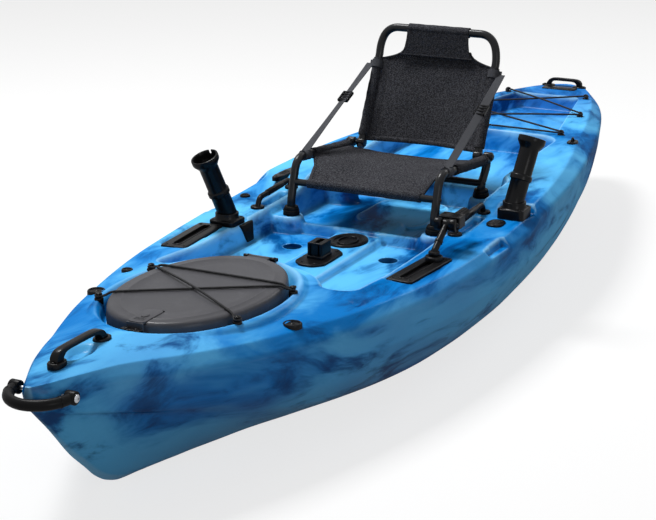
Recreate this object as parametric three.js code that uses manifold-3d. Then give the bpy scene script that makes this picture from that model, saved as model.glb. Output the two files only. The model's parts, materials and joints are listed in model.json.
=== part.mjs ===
// A sit-on-top fishing kayak: a hollow moulded hull with its hatch, fittings, folding seat and cords.
// Millimetres. The bow points along -Y, +X is the side with the track mount, +Z is up.
// The origin is the middle of the flat bottom, half way along the hull.
import * as THREE from "three";
import { mergeVertices } from "three/addons/utils/BufferGeometryUtils.js";
import Module from "manifold-3d";

const wasm = await Module();
wasm.setup();

// Hull
const hullLength = 3350;
const halfBeam = 455;
const hullHeight = 366;
const hullWall = 5;
const bevelWidth = 44;
const bevelDepth = 38;
const crownHeight = 45;
const cutOverrun = 60;
const seatGap = 0.3;
const runningGap = 0.6;

// Shares of the length, then of the half beam or of the height, from bow to stern
const stationShares = [
  0, 0.003, 0.009, 0.021, 0.04, 0.056, 0.07, 0.085, 0.102, 0.13, 0.16, 0.19, 0.22, 0.25, 0.28, 0.31, 0.35,
  0.4, 0.45, 0.495, 0.518, 0.53, 0.542, 0.575, 0.62, 0.67, 0.72, 0.77, 0.82, 0.865, 0.9, 0.93, 0.955, 0.975,
  0.988, 0.996, 1,
];
const beamShares = [
  [0, 0.018], [0.005, 0.058], [0.021, 0.128], [0.048, 0.238], [0.102, 0.428], [0.156, 0.602], [0.215, 0.743],
  [0.275, 0.857], [0.33, 0.93], [0.395, 0.98], [0.46, 1], [0.514, 1], [0.573, 0.987], [0.633, 0.95],
  [0.693, 0.885], [0.7525, 0.8], [0.812, 0.7], [0.872, 0.583], [0.924, 0.458], [0.9615, 0.335],
  [0.985, 0.21], [0.996, 0.105], [1, 0.04],
];
const edgeHeightShares = [
  [0, 0.945], [0.048, 0.956], [0.102, 0.907], [0.156, 0.869], [0.215, 0.842], [0.275, 0.825],
  [0.362, 0.814], [0.454, 0.83], [0.505, 0.848], [0.521, 0.862], [0.54, 0.92], [0.573, 0.937],
  [0.633, 0.964], [0.693, 0.984], [0.752, 0.995], [0.872, 1], [1, 0.989],
];
const bevelOutShares = [[0, 0.25], [0.1, 0.6], [0.5, 0.55], [0.65, 0.8], [0.75, 1], [0.95, 0.8], [1, 0.3]];
const bevelDropShares = [[0, 0.5], [0.1, 0.85], [0.4, 0.72], [0.55, 0.8], [0.75, 1], [0.95, 0.9], [1, 0.6]];
const crownShares = [
  [0, 0], [0.04, 0.2], [0.102, 0.58], [0.156, 0.8], [0.215, 1], [0.26, 0.95], [0.3, 0.55], [0.345, 0.15],
  [0.4, 0.1], [0.6, 0.15], [0.75, 0.12], [1, 0],
];
const panelOutShares = [[0, 0.85], [0.05, 0.93], [0.15, 0.985], [0.5, 0.99], [0.8, 0.985], [0.95, 0.95], [1, 0.85]];
const panelHeightShares = [
  [0, 0.885], [0.02, 0.76], [0.06, 0.67], [0.126, 0.596], [0.17, 0.56], [0.275, 0.53], [0.454, 0.511],
  [0.514, 0.538], [0.588, 0.587], [0.645, 0.648], [0.75, 0.71], [0.87, 0.745], [0.96, 0.78], [1, 0.86],
];
const chineOutShares = [
  [0, 0.7], [0.017, 0.66], [0.045, 0.71], [0.08, 0.76], [0.15, 0.775], [0.215, 0.79], [0.3, 0.767],
  [0.5, 0.77], [0.65, 0.78], [0.74, 0.79], [0.8, 0.83], [0.9, 0.85], [0.96, 0.8], [1, 0.7],
];
const chineHeightShares = [
  [0, 0.87], [0.006, 0.8], [0.017, 0.74], [0.045, 0.68], [0.078, 0.59], [0.117, 0.49], [0.15, 0.4],
  [0.177, 0.34], [0.215, 0.266], [0.248, 0.215], [0.305, 0.163], [0.395, 0.109], [0.505, 0.1], [0.573, 0.13],
  [0.654, 0.174], [0.738, 0.223], [0.782, 0.285], [0.842, 0.367], [0.9, 0.449], [0.96, 0.6], [0.99, 0.74],
  [1, 0.84],
];
const footOutShares = [
  [0, 0.3], [0.02, 0.18], [0.1, 0.12], [0.15, 0.18], [0.2, 0.26], [0.245, 0.38], [0.3, 0.5], [0.36, 0.58],
  [0.454, 0.615], [0.573, 0.61], [0.693, 0.59], [0.782, 0.55], [0.842, 0.5], [0.9, 0.47], [0.96, 0.37], [1, 0.3],
];
const footRiseShares = [[0, 0.2], [0.08, 0.12], [0.15, 0.05], [0.2, 0], [0.78, 0], [0.86, 0.06], [1, 0.2]];
const keelHeightShares = [
  [0, 0.85], [0.003, 0.81], [0.009, 0.74], [0.021, 0.61], [0.04, 0.4], [0.056, 0.26], [0.067, 0.164],
  [0.08, 0.087], [0.096, 0.035], [0.122, 0.006], [0.15, 0], [0.8, 0], [0.857, 0.022], [0.902, 0.095],
  [0.946, 0.232], [0.976, 0.41], [0.992, 0.62], [1, 0.8],
];
const bilgeBulgeShares = [[0, 0], [0.22, 0], [0.33, 0.06], [0.5, 0.12], [0.8, 0.1], [1, 0.1]];
const sideBulgeShare = 0.02;
const deckPointShares = [1, 0.75, 0.45, 0];

// Front hatch
const hatchPlaceShare = -0.2955;
const lidHalfWidth = 187;
const lidHalfLength = 277;
const lidHeight = 43;
const lidWall = 4;
const lidSeatHeight = 316;
const lidOvalShare = 2.06;
const recessMargin = 9;
const recessDrop = 6;
const rimMargin = 40;
const rimHeight = 345;
const dishHeights = [330, 345, 366];
const dishMargins = [11, 24, 90];
const rimSkirt = 60;
const coamingInset = 32;
const coamingWall = 5;
const coamingHeight = 36;
const gasketWidth = 9;
const lidEdgeRound = 4;
const lidHingeHeight = 350;
const lidHingeRadius = 5;
const lidHingeLength = 60;
const lidHingeBack = 9;
const lidPinRadius = 2.5;
const hingeKnuckleLength = 14;
const hingeFootDepth = 18;
const latchHalfWidth = 22;
const latchLength = 92;
const latchThickness = 5;
const latchHookDrop = 30;
const latchSink = 3;
const latchSideGap = 1.6;
const catchHalfWidth = 26;
const catchHeight = 7;
const catchDepth = 16;

// Cockpit
const cockpitHalfWidth = 278;
const cockpitFrontShare = -0.2295;
const cockpitRearShare = 0.104;
const cockpitFloor = 237;
const cockpitCorner = 62;
const wellDraft = 14;
const consoleHalfWidth = 70;
const consoleHeight = 18;
const consoleFrontShare = -0.205;
const consoleRearShare = 0.02;
const ridgePlaceShare = -0.031;
const ridgeThickness = 26;
const ridgeHeight = 30;
const hatchApron = 74;
const aftWellHalfWidth = 258;
const aftWellRearShare = 0.247;
const aftWellFloor = 300;
const tankFrontShare = 0.267;
const tankRearShare = 0.431;
const tankFrontHalfWidth = 226;
const tankRearHalfWidth = 118;
const tankFloor = 312;
const tankCorner = 34;
const footBossRadius = 37;
const footBossHeight = 284;
const rearBossHeight = 305;
const scupperRadius = 26;
const scupperOffset = 147;
const scupperPlaceShare = -0.0715;
const tankScupperOffset = 90;
const tankScupperPlaceShare = 0.3;
const drainRadius = 11;
const drainOffset = 190;
const drainPlaceShare = -0.163;
const scoopLength = 116;
const scoopDepth = 22;
const scoopWidth = 50;
const scoopPlaceShare = -0.0525;

// Bow fittings
const bowHandleFrontShare = -0.4681;
const bowHandleRearShare = -0.4182;
const handleFootHalfWidth = 17;
const handleFootHalfLength = 24;
const handleFootDepth = 8;
const handleFootHeight = 5;
const handleRise = 30;
const handleBarHalfWidth = 10;
const handleOuterShares = [
  [-0.08, 0], [-0.07, 0.62], [0.02, 0.93], [0.18, 1], [0.78, 1], [0.94, 0.8], [1.04, 0.3], [1.08, 0],
];
const handleInnerShares = [[0.93, 0], [0.89, 0.35], [0.78, 0.66], [0.2, 0.66], [0.09, 0.5], [0.07, 0]];
const screwRadius = 5;
const screwHeight = 2.4;
const grabPivotShare = -0.4836;
const grabPivotHeight = 317;
const grabHalfWidthShare = 0.1538461538;
const grabReach = 76;
const grabSteps = 12;
const grabBarRadius = 12;
const grabEyeRadius = 15;
const grabBoltRadius = 5;
const grabBoltHead = 9;
const grabBoltHeadHeight = 4;
const grabBoltDepth = 30;

// Deck fittings
const hookRadius = 11;
const hookBaseHeight = 5;
const hookPostRadius = 4;
const hookHeight = 16;
const hookCapRadius = 8;
const hookRoot = 12;
const cordPlay = 1;
const cordClimbs = [27, 46];
const cordCrossLift = 6.8;
const cordRadius = 3;
const hatchHookFrontShare = -0.3395;
const hatchHookRearShare = -0.2655;
const hatchHookFrontOffset = 186;
const hatchHookRearOffset = 198;
const plugRadius = 23;
const plugHeight = 6;
const plugRim = 3;
const smallPlugRadius = 15;
const smallPlugPlaceShares = [[-0.6549450549, -0.2525], [-0.8703296703, -0.0191]];
const plugPlaceShare = -0.3066;
const plugOffset = 268;
const sternHookShares = [0.257, 0.342, 0.4275];
const sternHookOffsetShares = [0.555, 0.485, 0.32];
const padEyePlaceShare = 0.2345;
const padEyeOutShare = 0.6989;
const padEyeHalfWidth = 16;
const padEyeHalfLength = 26;
const padEyeHeight = 5;
const padEyeLoop = 9;
const padEyeWire = 3;
const trackOffset = 338;
const trackPlaceShare = -0.138;
const trackHalfWidth = 36;
const trackHalfLength = 118;
const trackHeight = 8;
const trackSlotHalfWidth = 9;
const trackSlotInset = 16;
const trackSlotDepth = 5;
const trackLip = 2;
const trackUndercut = 6;
const keyHalfLength = 18;
const trackTurnShare = 0.022;
const trackRecess = 4;
const mountEndGap = 4.3;
const carriageRadius = 24;
const carriageHeight = 12;
const postRadius = 9;
const postLength = 96;
const postStub = 10;
const postFootRadius = 15;
const postLeanShares = [0, 1.48];
const postEyeRadius = 13;
const postEyeHalfWidth = 9.5;
const headHalfWidthX = 30;
const headFront = 17;
const headRear = 58;
const headHalfHeight = 17;
const headPinRadius = 4;
const knobRadius = 14;
const knobLength = 66;
const knobStemRadius = 6;
const knobStemLength = 8;
const knobTeeth = 12;
const knobToothShare = 0.12;

// Rod holders
const holderFlangeHalf = 39;
const holderFlangeCorner = 14;
const holderFlangeHeight = 8;
const holderSocketRadius = 33;
const holderSocketHeight = 26;
const holderTubeRadius = 27;
const holderTubeWall = 3.2;
const holderTubeLength = 184;
const holderCollarRadius = 31;
const holderCollarHeight = 12;
const holderMouthRadius = 39;
const holderMouthLength = 34;
const holderSlotHalfWidth = 7;
const holderSlotDepth = 22;
const holderFloor = 10;
const holderPinRadius = 12;
const holderPinLength = 14;
const leftHolderOffset = 322;
const holderTrackGap = 6.5;
const leftHolderLeanShares = [-0.19, -0.38];
const rightHolderOffset = 392;
const rightHolderShare = 0.0215;
const rightHolderLeanShares = [0.14, 0.38];

// Side handles and covers
const sideHandleOffset = 306;
const sideHandleFrontShare = -0.0455;
const sideHandleRearShare = 0.017;
const sideHandleRise = 27;
const sideHandleRadius = 8;
const sideHandlePadRadius = 20;
const sideHandlePadHeight = 6;
const sideHandleEnd = 26;
const gripPocketHalfWidth = 13;
const gripPocketHalfLength = 64;
const gripPocketDepth = 12;
const coverHalfWidth = 16;
const coverHalfLength = 68;
const coverHeight = 7;
const coverOffset = 362;
const coverPlaceShare = 0.036;
const ribPlateHalfWidth = 24;
const ribPlateHalfLength = 32;
const ribPlateHeight = 6;
const ribPlateOffset = 372;
const ribPlatePlaceShare = -0.0045;

// Cockpit fittings
const accessoryGap = 27.6;
const accessoryHalfWidth = 44;
const accessoryHalfLength = 84;
const accessoryChamfer = 26;
const accessoryThickness = 6;
const socketHalfWidth = 22;
const socketHalfLength = 28;
const socketHeight = 44;
const socketSlotHalfWidth = 7;
const socketSlotDepth = 18;
const bezelGap = 3;
const bezelHalfWidth = 54;
const bezelHalfLength = 66;
const bezelHeight = 6;
const bezelLip = 14;
const bezelFloor = 2;
const wallPadHalfLength = 34;
const wallPadFootShare = 0.55;
const wallPadThickness = 5;
const wallPadPlaceShare = -0.0815;
const wallPadTop = 296;
const wallPadBottom = 240;

// Stern
const sternHandleShare = 0.4835;
const sternHandleHalfWidth = 59;
const sternPlatePlaceShare = 0.4685;
const sternPlateHalfWidth = 62;
const sternPlateHalfLength = 22;
const sternPlateHeight = 4;

// Seat
const seatTubeRadius = 12;
const crossbarRadius = 10;
const seatHalfWidth = 223;
const frontFootShare = -0.0302;
const rearFootShare = 0.0735;
const footCupRadius = 24;
const footCupHeight = 26;
const footCupFloor = 4;
const footCupLip = 3;
const legStraightHeight = 326;
const kneeShare = -0.0203;
const kneeHeight = 446;
const heelShare = 0.0896;
const heelHeight = 408;
const rearLegHeight = 343;
const legReach = 10;
const kneeReach = 44;
const heelReach = 36;
const rearLegReach = 14;
const frontCrossbarRise = 52;
const rearCrossbarHeight = 347;
const gussetHalfThickness = 3;
const gussetShares = [
  [0.0764, 1.015], [0.0866, 1.051], [0.0919, 1.027], [0.0914, 0.983], [0.0785, 0.863], [0.0745, 0.882],
];
const hoopHalfWidth = 190;
const hoopTopHalfWidth = 132;
const hoopHeight = 750;
const hoopShoulderDrop = 82;
const hoopLeanShare = 0.5;
const hoopTopLeanShare = 0.2;
const hoopTail = 14;
const pivotShare = 0.0884;
const pivotHeight = 416;
const pivotEyeRadius = 14;
const pivotBoltRadius = 5;
const pivotBoltHead = 10;
const pivotBoltHeadHeight = 4;
const fabricThickness = 6;
const sleeveWall = 2.6;
const sleeveGap = 0.4;
const slingFrontHalfWidth = 175;
const slingSleeveShare = 0.0119;
const slingRearShare = 0.0746;
const slingSag = 24;
const panelRise = 6;
const panelBow = 30;
const panelWidthShares = [
  [0, 1], [0.634, 1], [0.713, 0.99], [0.744, 0.884], [0.787, 0.663], [0.829, 0.542], [0.89, 0.516], [1, 0.516],
];
const panelBowShares = [[0, 1], [0.238, 0.8], [0.726, 0.4], [0.848, 0.13], [1, 0]];
const panelSleeveInset = 14;
const panelColumns = 6;
const panelRows = 8;
const strapWidth = 24;
const strapTopOut = 24;
const strapThickness = 2.4;
const strapTopDrop = 112;
const strapFootShare = -0.0033;
const buckleLength = 46;
const buckleHalfWidth = 17;
const buckleHalfThickness = 5;
const bucklePlaceShare = 0.6;

// Facet counts
const roundFacets = 14;
const ovalFacets = 30;
const hookFacets = 8;
const tubeSides = 8;
const cordSides = 8;
const cornerFacets = 4;
const cornerSteps = 4;
const wrapSteps = 5;

// Colours
const hullBlue = 0x2f7fc4;
const lidCharcoal = 0x3a3c40;
const fittingBlack = 0x16171a;
const tubeBlack = 0x1d1e21;
const rubberBlack = 0x1a1a1c;
const meshBlack = 0x202124;
const webbingGrey = 0x46484d;
const screwSteel = 0x8d9196;

const finishes = {
  hull: new THREE.MeshStandardMaterial({ color: hullBlue, roughness: 0.42, metalness: 0 }),
  lid: new THREE.MeshStandardMaterial({ color: lidCharcoal, roughness: 0.5, metalness: 0 }),
  fitting: new THREE.MeshStandardMaterial({ color: fittingBlack, roughness: 0.38, metalness: 0 }),
  tube: new THREE.MeshStandardMaterial({ color: tubeBlack, roughness: 0.3, metalness: 0.6 }),
  rubber: new THREE.MeshStandardMaterial({ color: rubberBlack, roughness: 0.6, metalness: 0 }),
  fabric: new THREE.MeshStandardMaterial({ color: meshBlack, roughness: 0.95, metalness: 0 }),
  webbing: new THREE.MeshStandardMaterial({ color: webbingGrey, roughness: 0.85, metalness: 0 }),
  steel: new THREE.MeshStandardMaterial({ color: screwSteel, roughness: 0.3, metalness: 1 }),
};

const kayak = new THREE.Group();

// Solids, joins and cuts
function solid(geometry) {
  const bare = geometry.clone();
  bare.deleteAttribute("normal");
  bare.deleteAttribute("uv");
  const merged = mergeVertices(bare);
  return new wasm.Manifold(
    new wasm.Mesh({
      numProp: 3,
      vertProperties: new Float32Array(merged.attributes.position.array),
      triVerts: new Uint32Array(merged.index.array),
    }),
  );
}

function join(...solids) {
  return solids.flat().reduce((whole, next) => whole.add(next));
}

function cut(body, ...tools) {
  return tools.flat().reduce((rest, tool) => rest.subtract(tool), body);
}

function geometryOf(body) {
  const mesh = body.getMesh();
  const positions = new Float32Array(mesh.numVert * 3);
  for (let i = 0; i < mesh.numVert; i += 1)
    for (let axis = 0; axis < 3; axis += 1)
      positions[i * 3 + axis] = mesh.vertProperties[i * mesh.numProp + axis];
  const geometry = new THREE.BufferGeometry();
  geometry.setAttribute("position", new THREE.BufferAttribute(positions, 3));
  geometry.setIndex(new THREE.BufferAttribute(new Uint32Array(mesh.triVerts), 1));
  geometry.computeVertexNormals();
  return geometry;
}

function place(name, body, finish) {
  const mesh = new THREE.Mesh(geometryOf(body), finishes[finish].clone());
  mesh.name = name;
  kayak.add(mesh);
  return body;
}

// The height of a table of [place, value] pairs at a place, on a smooth curve that never overshoots.
function follow(table, place) {
  const last = table.length - 1;
  let i = 0;
  while (i < last - 1 && place > table[i + 1][0]) i += 1;
  const slope = (k) => (table[k + 1][1] - table[k][1]) / (table[k + 1][0] - table[k][0]);
  const tangent = (k) => {
    if (k === 0) return slope(0);
    if (k === last) return slope(last - 1);
    const before = slope(k - 1);
    const after = slope(k);
    return before * after <= 0 ? 0 : (2 * before * after) / (before + after);
  };
  const span = table[i + 1][0] - table[i][0];
  const t = Math.min(1, Math.max(0, (place - table[i][0]) / span));
  const rise = (2 * t - 3) * t * t;
  return (
    (rise + 1) * table[i][1] +
    (t * t * t - 2 * t * t + t) * span * tangent(i) -
    rise * table[i + 1][1] +
    (t * t * t - t * t) * span * tangent(i + 1)
  );
}

// A closed surface through rings with equal point counts, capped flat at both ends.
function loft(rings) {
  const count = rings[0].length;
  const points = rings.flat();
  const index = [];
  for (let r = 0; r < rings.length - 1; r += 1)
    for (let i = 0; i < count; i += 1) {
      const a = r * count + i;
      const b = r * count + ((i + 1) % count);
      index.push(a, b, b + count, a, b + count, a + count);
    }
  const cap = (ring, first, flip) => {
    const normal = new THREE.Vector3();
    ring.forEach((p, i) => normal.add(p.clone().cross(ring[(i + 1) % count])));
    const across = ring[1].clone().sub(ring[0]).normalize();
    const up = normal.clone().cross(across).normalize();
    const flat = ring.map((p) => new THREE.Vector2(p.dot(across), p.dot(up)));
    THREE.ShapeUtils.triangulateShape(flat, []).forEach(([a, b, c]) =>
      flip ? index.push(first + a, first + c, first + b) : index.push(first + a, first + b, first + c),
    );
  };
  cap(rings[0], 0, true);
  cap(rings[rings.length - 1], (rings.length - 1) * count, false);
  const geometry = new THREE.BufferGeometry().setFromPoints(points);
  geometry.setIndex(index);
  const merged = mergeVertices(geometry);
  const made = solid(merged);
  if (made.volume() >= 0) return made;
  const turned = [];
  for (let i = 0; i < merged.index.count; i += 3)
    turned.push(merged.index.array[i], merged.index.array[i + 2], merged.index.array[i + 1]);
  merged.setIndex(turned);
  return solid(merged);
}

// Outlines in the plan, each a function of how far it is grown.
function ovalOutline(halfWidth, halfLength, powerShare = 2) {
  return (grow) =>
    Array.from({ length: ovalFacets }, (_, i) => {
      const angle = (i / ovalFacets) * 2 * Math.PI;
      const c = Math.cos(angle);
      const s = Math.sin(angle);
      const bend = 2 / powerShare;
      return new THREE.Vector2(
        Math.sign(c) * Math.abs(c) ** bend * (halfWidth + grow),
        Math.sign(s) * Math.abs(s) ** bend * (halfLength + grow),
      );
    });
}

function roundOutline(radius) {
  return (grow) =>
    Array.from({ length: roundFacets }, (_, i) => {
      const angle = (i / roundFacets) * 2 * Math.PI;
      return new THREE.Vector2(Math.cos(angle) * (radius + grow), Math.sin(angle) * (radius + grow));
    });
}

// A polygon with round corners: corners is a function of the growth that gives [x, y] pairs.
function corneredOutline(corners, radius) {
  return (grow) => {
    const points = corners(grow).map(([x, y]) => new THREE.Vector2(x, y));
    return points.flatMap((corner, i) => {
      const before = points[(i + points.length - 1) % points.length];
      const after = points[(i + 1) % points.length];
      const start = corner.clone().add(before.clone().sub(corner).setLength(radius));
      const end = corner.clone().add(after.clone().sub(corner).setLength(radius));
      return new THREE.QuadraticBezierCurve(start, corner, end).getPoints(cornerFacets - 1);
    });
  };
}

function boxOutline(halfWidth, halfLength, radius) {
  return corneredOutline(
    (grow) => [
      [-halfWidth - grow, -halfLength - grow],
      [halfWidth + grow, -halfLength - grow],
      [halfWidth + grow, halfLength + grow],
      [-halfWidth - grow, halfLength + grow],
    ],
    radius,
  );
}

// A solid with one outline at several heights: levels is a list of [height, growth] pairs.
function stack(outline, levels, x = 0, y = 0, turn = 0) {
  return loft(
    levels.map(([height, grow]) =>
      outline(grow).map((p) => {
        const turned = p.clone().rotateAround(new THREE.Vector2(0, 0), turn);
        return new THREE.Vector3(turned.x + x, turned.y + y, height);
      }),
    ),
  );
}

// A path with one section of the rod at each of its points.
class Route extends THREE.Curve {
  constructor(points) {
    super();
    this.points = points;
  }

  getPoint(t) {
    const place = t * (this.points.length - 1);
    const i = Math.min(this.points.length - 2, Math.floor(place));
    return this.points[i].clone().lerp(this.points[i + 1], place - i);
  }

  getPointAt(t) {
    return this.getPoint(t);
  }

  getTangentAt(t) {
    const last = this.points.length - 1;
    const i = Math.round(t * last);
    const here = this.points[i];
    const way = new THREE.Vector3();
    if (i > 0) way.add(here.clone().sub(this.points[i - 1]).normalize());
    if (i < last) way.add(this.points[i + 1].clone().sub(here).normalize());
    return way.normalize();
  }
}

function rod(points, radius, sides = tubeSides) {
  const section = new THREE.Shape(
    Array.from({ length: sides }, (_, i) => {
      const angle = ((i + 1 / 2) / sides) * 2 * Math.PI;
      return new THREE.Vector2(Math.cos(angle) * radius, Math.sin(angle) * radius);
    }),
  );
  const steps = points.length - 1;
  const extrudePath = new Route(points);
  return solid(new THREE.ExtrudeGeometry(section, { steps, bevelEnabled: false, extrudePath }));
}

function straightBar(from, to, radius, sides = tubeSides) {
  return rod([from, to], radius, sides);
}

function roundCorner(from, corner, to, steps = cornerSteps) {
  return new THREE.QuadraticBezierCurve3(from, corner, to).getPoints(steps);
}

// The points of a path of straight runs whose corners start and end at a given reach from the corner.
function bentPath(points, reaches) {
  const middle = reaches.flatMap((reach, i) => {
    const corner = points[i + 1];
    const toward = (other) => corner.clone().add(other.clone().sub(corner).setLength(reach));
    return roundCorner(toward(points[i]), corner, toward(points[i + 2]));
  });
  return [points[0], ...middle, points[points.length - 1]];
}

// A turned shape: profile is a list of [radius, height] pairs from the axis back to the axis.
function turnedShape(profile, facets = roundFacets) {
  const points = profile.map(([r, h]) => new THREE.Vector2(r, h));
  const lathe = new THREE.LatheGeometry(points, facets);
  lathe.rotateX(Math.PI / 2);
  return solid(lathe);
}

function block(width, length, height, centre) {
  return solid(new THREE.BoxGeometry(width, length, height).translate(centre.x, centre.y, centre.z));
}

function at(x, y, z) {
  return new THREE.Vector3(x, y, z);
}

function moved(body, where) {
  return body.translate([where.x, where.y, where.z]);
}

// A slab standing along the hull, drawn by its side profile of [y, z] pairs.
function profileSlab(profile, halfWidth, x = 0) {
  const shape = new THREE.Shape(profile.map(([y, z]) => new THREE.Vector2(y, z)));
  const slab = new THREE.ExtrudeGeometry(shape, { depth: 2 * halfWidth, steps: 1, bevelEnabled: false });
  slab.applyMatrix4(new THREE.Matrix4().set(0, 0, 1, x - halfWidth, 1, 0, 0, 0, 0, 1, 0, 0, 0, 0, 0, 1));
  return solid(slab);
}

// A closed sheet round a middle surface: middle takes u from -1 to 1 across and v from 0 to 1 along.
function sheetSolid(middle, thickness, columns, rows) {
  const step = 1 / (8 * columns);
  const rings = Array.from({ length: rows + 1 }, (_, j) => {
    const v = j / rows;
    const line = Array.from({ length: columns + 1 }, (_, i) => {
      const u = (2 * i) / columns - 1;
      const across = middle(u + step, v).sub(middle(u - step, v));
      const along = middle(u, v + step).sub(middle(u, v - step));
      return { point: middle(u, v), side: across.cross(along).setLength(thickness / 2) };
    });
    return [
      ...line.map(({ point, side }) => point.clone().add(side)),
      ...line.reverse().map(({ point, side }) => point.clone().sub(side)),
    ];
  });
  return loft(rings);
}

// Turns a body drawn along +Z so that it leans by the given shares of its rise.
function leaning(body, [leanX, leanY]) {
  const turnY = Math.atan(leanX);
  const turnX = -Math.atan(leanY * Math.cos(turnY));
  const degrees = 180 / Math.PI;
  return body.rotate([turnX * degrees, turnY * degrees, 0]);
}

// Hull shape
function alongHull(share) {
  return share * hullLength;
}

function stationOf(y) {
  return y / hullLength + 1 / 2;
}

function shoulderOut(station) {
  return follow(beamShares, station) * halfBeam;
}

function edgeOut(station) {
  const bevel = follow(bevelOutShares, station) * bevelWidth;
  return Math.max(shoulderOut(station) - bevel, shoulderOut(station) / 2);
}

function edgeHeight(station) {
  return follow(edgeHeightShares, station) * hullHeight;
}

function deckHeight(x, y) {
  const station = stationOf(y);
  const across = Math.min(1, Math.abs(x) / edgeOut(station));
  return edgeHeight(station) + follow(crownShares, station) * crownHeight * (1 - across * across);
}

// One half of a cross section, from the keel round the side to the middle of the deck.
function halfSection(station) {
  const y = alongHull(station - 1 / 2);
  const out = shoulderOut(station);
  const keel = follow(keelHeightShares, station) * hullHeight;
  const chineX = follow(chineOutShares, station) * out;
  const chineZ = follow(chineHeightShares, station) * hullHeight;
  const footX = follow(footOutShares, station) * out;
  const footZ = keel + follow(footRiseShares, station) * (chineZ - keel);
  const panelX = follow(panelOutShares, station) * out;
  const panelZ = follow(panelHeightShares, station) * hullHeight;
  const shoulderZ = edgeHeight(station) - follow(bevelDropShares, station) * bevelDepth;
  const bilge = follow(bilgeBulgeShares, station) * (chineX - footX);
  const side = sideBulgeShare * out;
  const deck = deckPointShares.map((share) => [
    share * edgeOut(station),
    deckHeight(share * edgeOut(station), y),
  ]);
  return [
    [0, keel],
    [footX, footZ],
    [(footX + chineX) / 2 + bilge, (footZ + chineZ) / 2 - bilge],
    [chineX, chineZ],
    [(chineX + panelX) / 2 + side, (chineZ + panelZ) / 2 - side],
    [panelX, panelZ],
    [out, shoulderZ],
    ...deck,
  ];
}

// The whole closed ring of a section, moved inwards by the inset.
function sectionRing(station, inset) {
  const half = halfSection(station);
  const mirrored = half
    .slice(1, -1)
    .reverse()
    .map(([x, z]) => [-x, z]);
  const ring = [...half, ...mirrored].map(([x, z]) => new THREE.Vector2(x, z));
  const y = alongHull(station - 1 / 2);
  return ring.map((point, i) => {
    const before = ring[(i + ring.length - 1) % ring.length];
    const after = ring[(i + 1) % ring.length];
    const along = after.clone().sub(before).normalize();
    return at(point.x - along.y * inset, y, point.y + along.x * inset);
  });
}

function hullBody() {
  return loft(stationShares.map((station) => sectionRing(station, 0)));
}

function hullHollow() {
  const inner = stationShares.filter((station, i) => station > 0.05 && station < 0.96 && i % 2 === 0);
  return loft(inner.map((station) => sectionRing(station, hullWall)));
}

// Deck wells. The grow value is zero for the cut and the wall for the space kept clear of the hollow.
const hatchY = alongHull(hatchPlaceShare);
const lidOutline = ovalOutline(lidHalfWidth, lidHalfLength, lidOvalShare);
const lidTop = lidSeatHeight + lidHeight;
const deckTop = hullHeight + crownHeight + cutOverrun;
const frontFootY = alongHull(frontFootShare);
const rearFootY = alongHull(rearFootShare);

function lengthwise(frontShare, rearShare) {
  return {
    middle: alongHull((frontShare + rearShare) / 2),
    half: alongHull(rearShare - frontShare) / 2,
  };
}

function hatchRecess(grow) {
  const floor = lidSeatHeight - recessDrop - grow;
  const dish = dishHeights.map((height, i) => [height - grow, dishMargins[i] + grow]);
  return stack(
    lidOutline,
    [[floor, recessMargin + grow], ...dish, [deckTop, 2 * dishMargins[2] + grow]],
    0,
    hatchY,
  );
}

function hatchRim() {
  return stack(
    lidOutline,
    [
      [cockpitFloor + hullWall, rimMargin - rimSkirt],
      [edgeHeight(stationOf(hatchY)) - hullWall, rimMargin + bevelDepth / 2],
      [rimHeight - hullWall, rimMargin],
      [rimHeight, rimMargin - bevelDepth / 4],
    ],
    0,
    hatchY,
  );
}

function cockpit(grow) {
  const run = lengthwise(cockpitFrontShare, cockpitRearShare);
  const floor = cockpitFloor - grow;
  const well = stack(
    boxOutline(cockpitHalfWidth, run.half, cockpitCorner),
    [[floor, grow - wellDraft], [edgeHeight(stationOf(run.middle)), grow], [deckTop, grow]],
    0,
    run.middle,
  );
  const console = lengthwise(consoleFrontShare, consoleRearShare);
  const consoleTop = cockpitFloor + consoleHeight - grow;
  const kept = [
    stack(
      boxOutline(consoleHalfWidth, console.half, consoleHalfWidth / 2),
      [[floor - cutOverrun, wellDraft - grow], [consoleTop, -grow]],
      0,
      console.middle,
    ),
    stack(
      lidOutline,
      [[floor - cutOverrun, hatchApron + rimSkirt - grow], [rimHeight, hatchApron - grow], [deckTop, hatchApron - grow]],
      0,
      hatchY,
    ),
    block(
      2 * cockpitHalfWidth,
      ridgeThickness - 2 * grow,
      ridgeHeight - grow + cutOverrun,
      at(0, alongHull(ridgePlaceShare), cockpitFloor + (ridgeHeight - grow - cutOverrun) / 2),
    ),
    ...[-1, 1].flatMap((side) => [
      footBoss(side, frontFootY, footBossHeight, grow),
      footBoss(side, rearFootY, rearBossHeight, grow),
    ]),
  ];
  return cut(well, kept);
}

function footBoss(side, y, height, grow) {
  const reach = cockpitHalfWidth - seatHalfWidth + cutOverrun;
  const post = stack(
    roundOutline(footBossRadius - grow),
    [[cockpitFloor - cutOverrun, wellDraft / 2], [height - grow, 0]],
    side * seatHalfWidth,
    y,
  );
  const web = block(
    reach,
    2 * (footBossRadius - grow),
    height - grow - cockpitFloor + cutOverrun,
    at(side * (seatHalfWidth + reach / 2), y, (height - grow + cockpitFloor - cutOverrun) / 2),
  );
  return join(post, web);
}

function aftWell(grow) {
  const run = lengthwise(cockpitRearShare, aftWellRearShare);
  return stack(
    boxOutline(aftWellHalfWidth, run.half + cockpitCorner, cockpitCorner),
    [[aftWellFloor - grow, grow - wellDraft], [hullHeight, grow], [deckTop, grow]],
    0,
    run.middle - cockpitCorner,
  );
}

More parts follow.
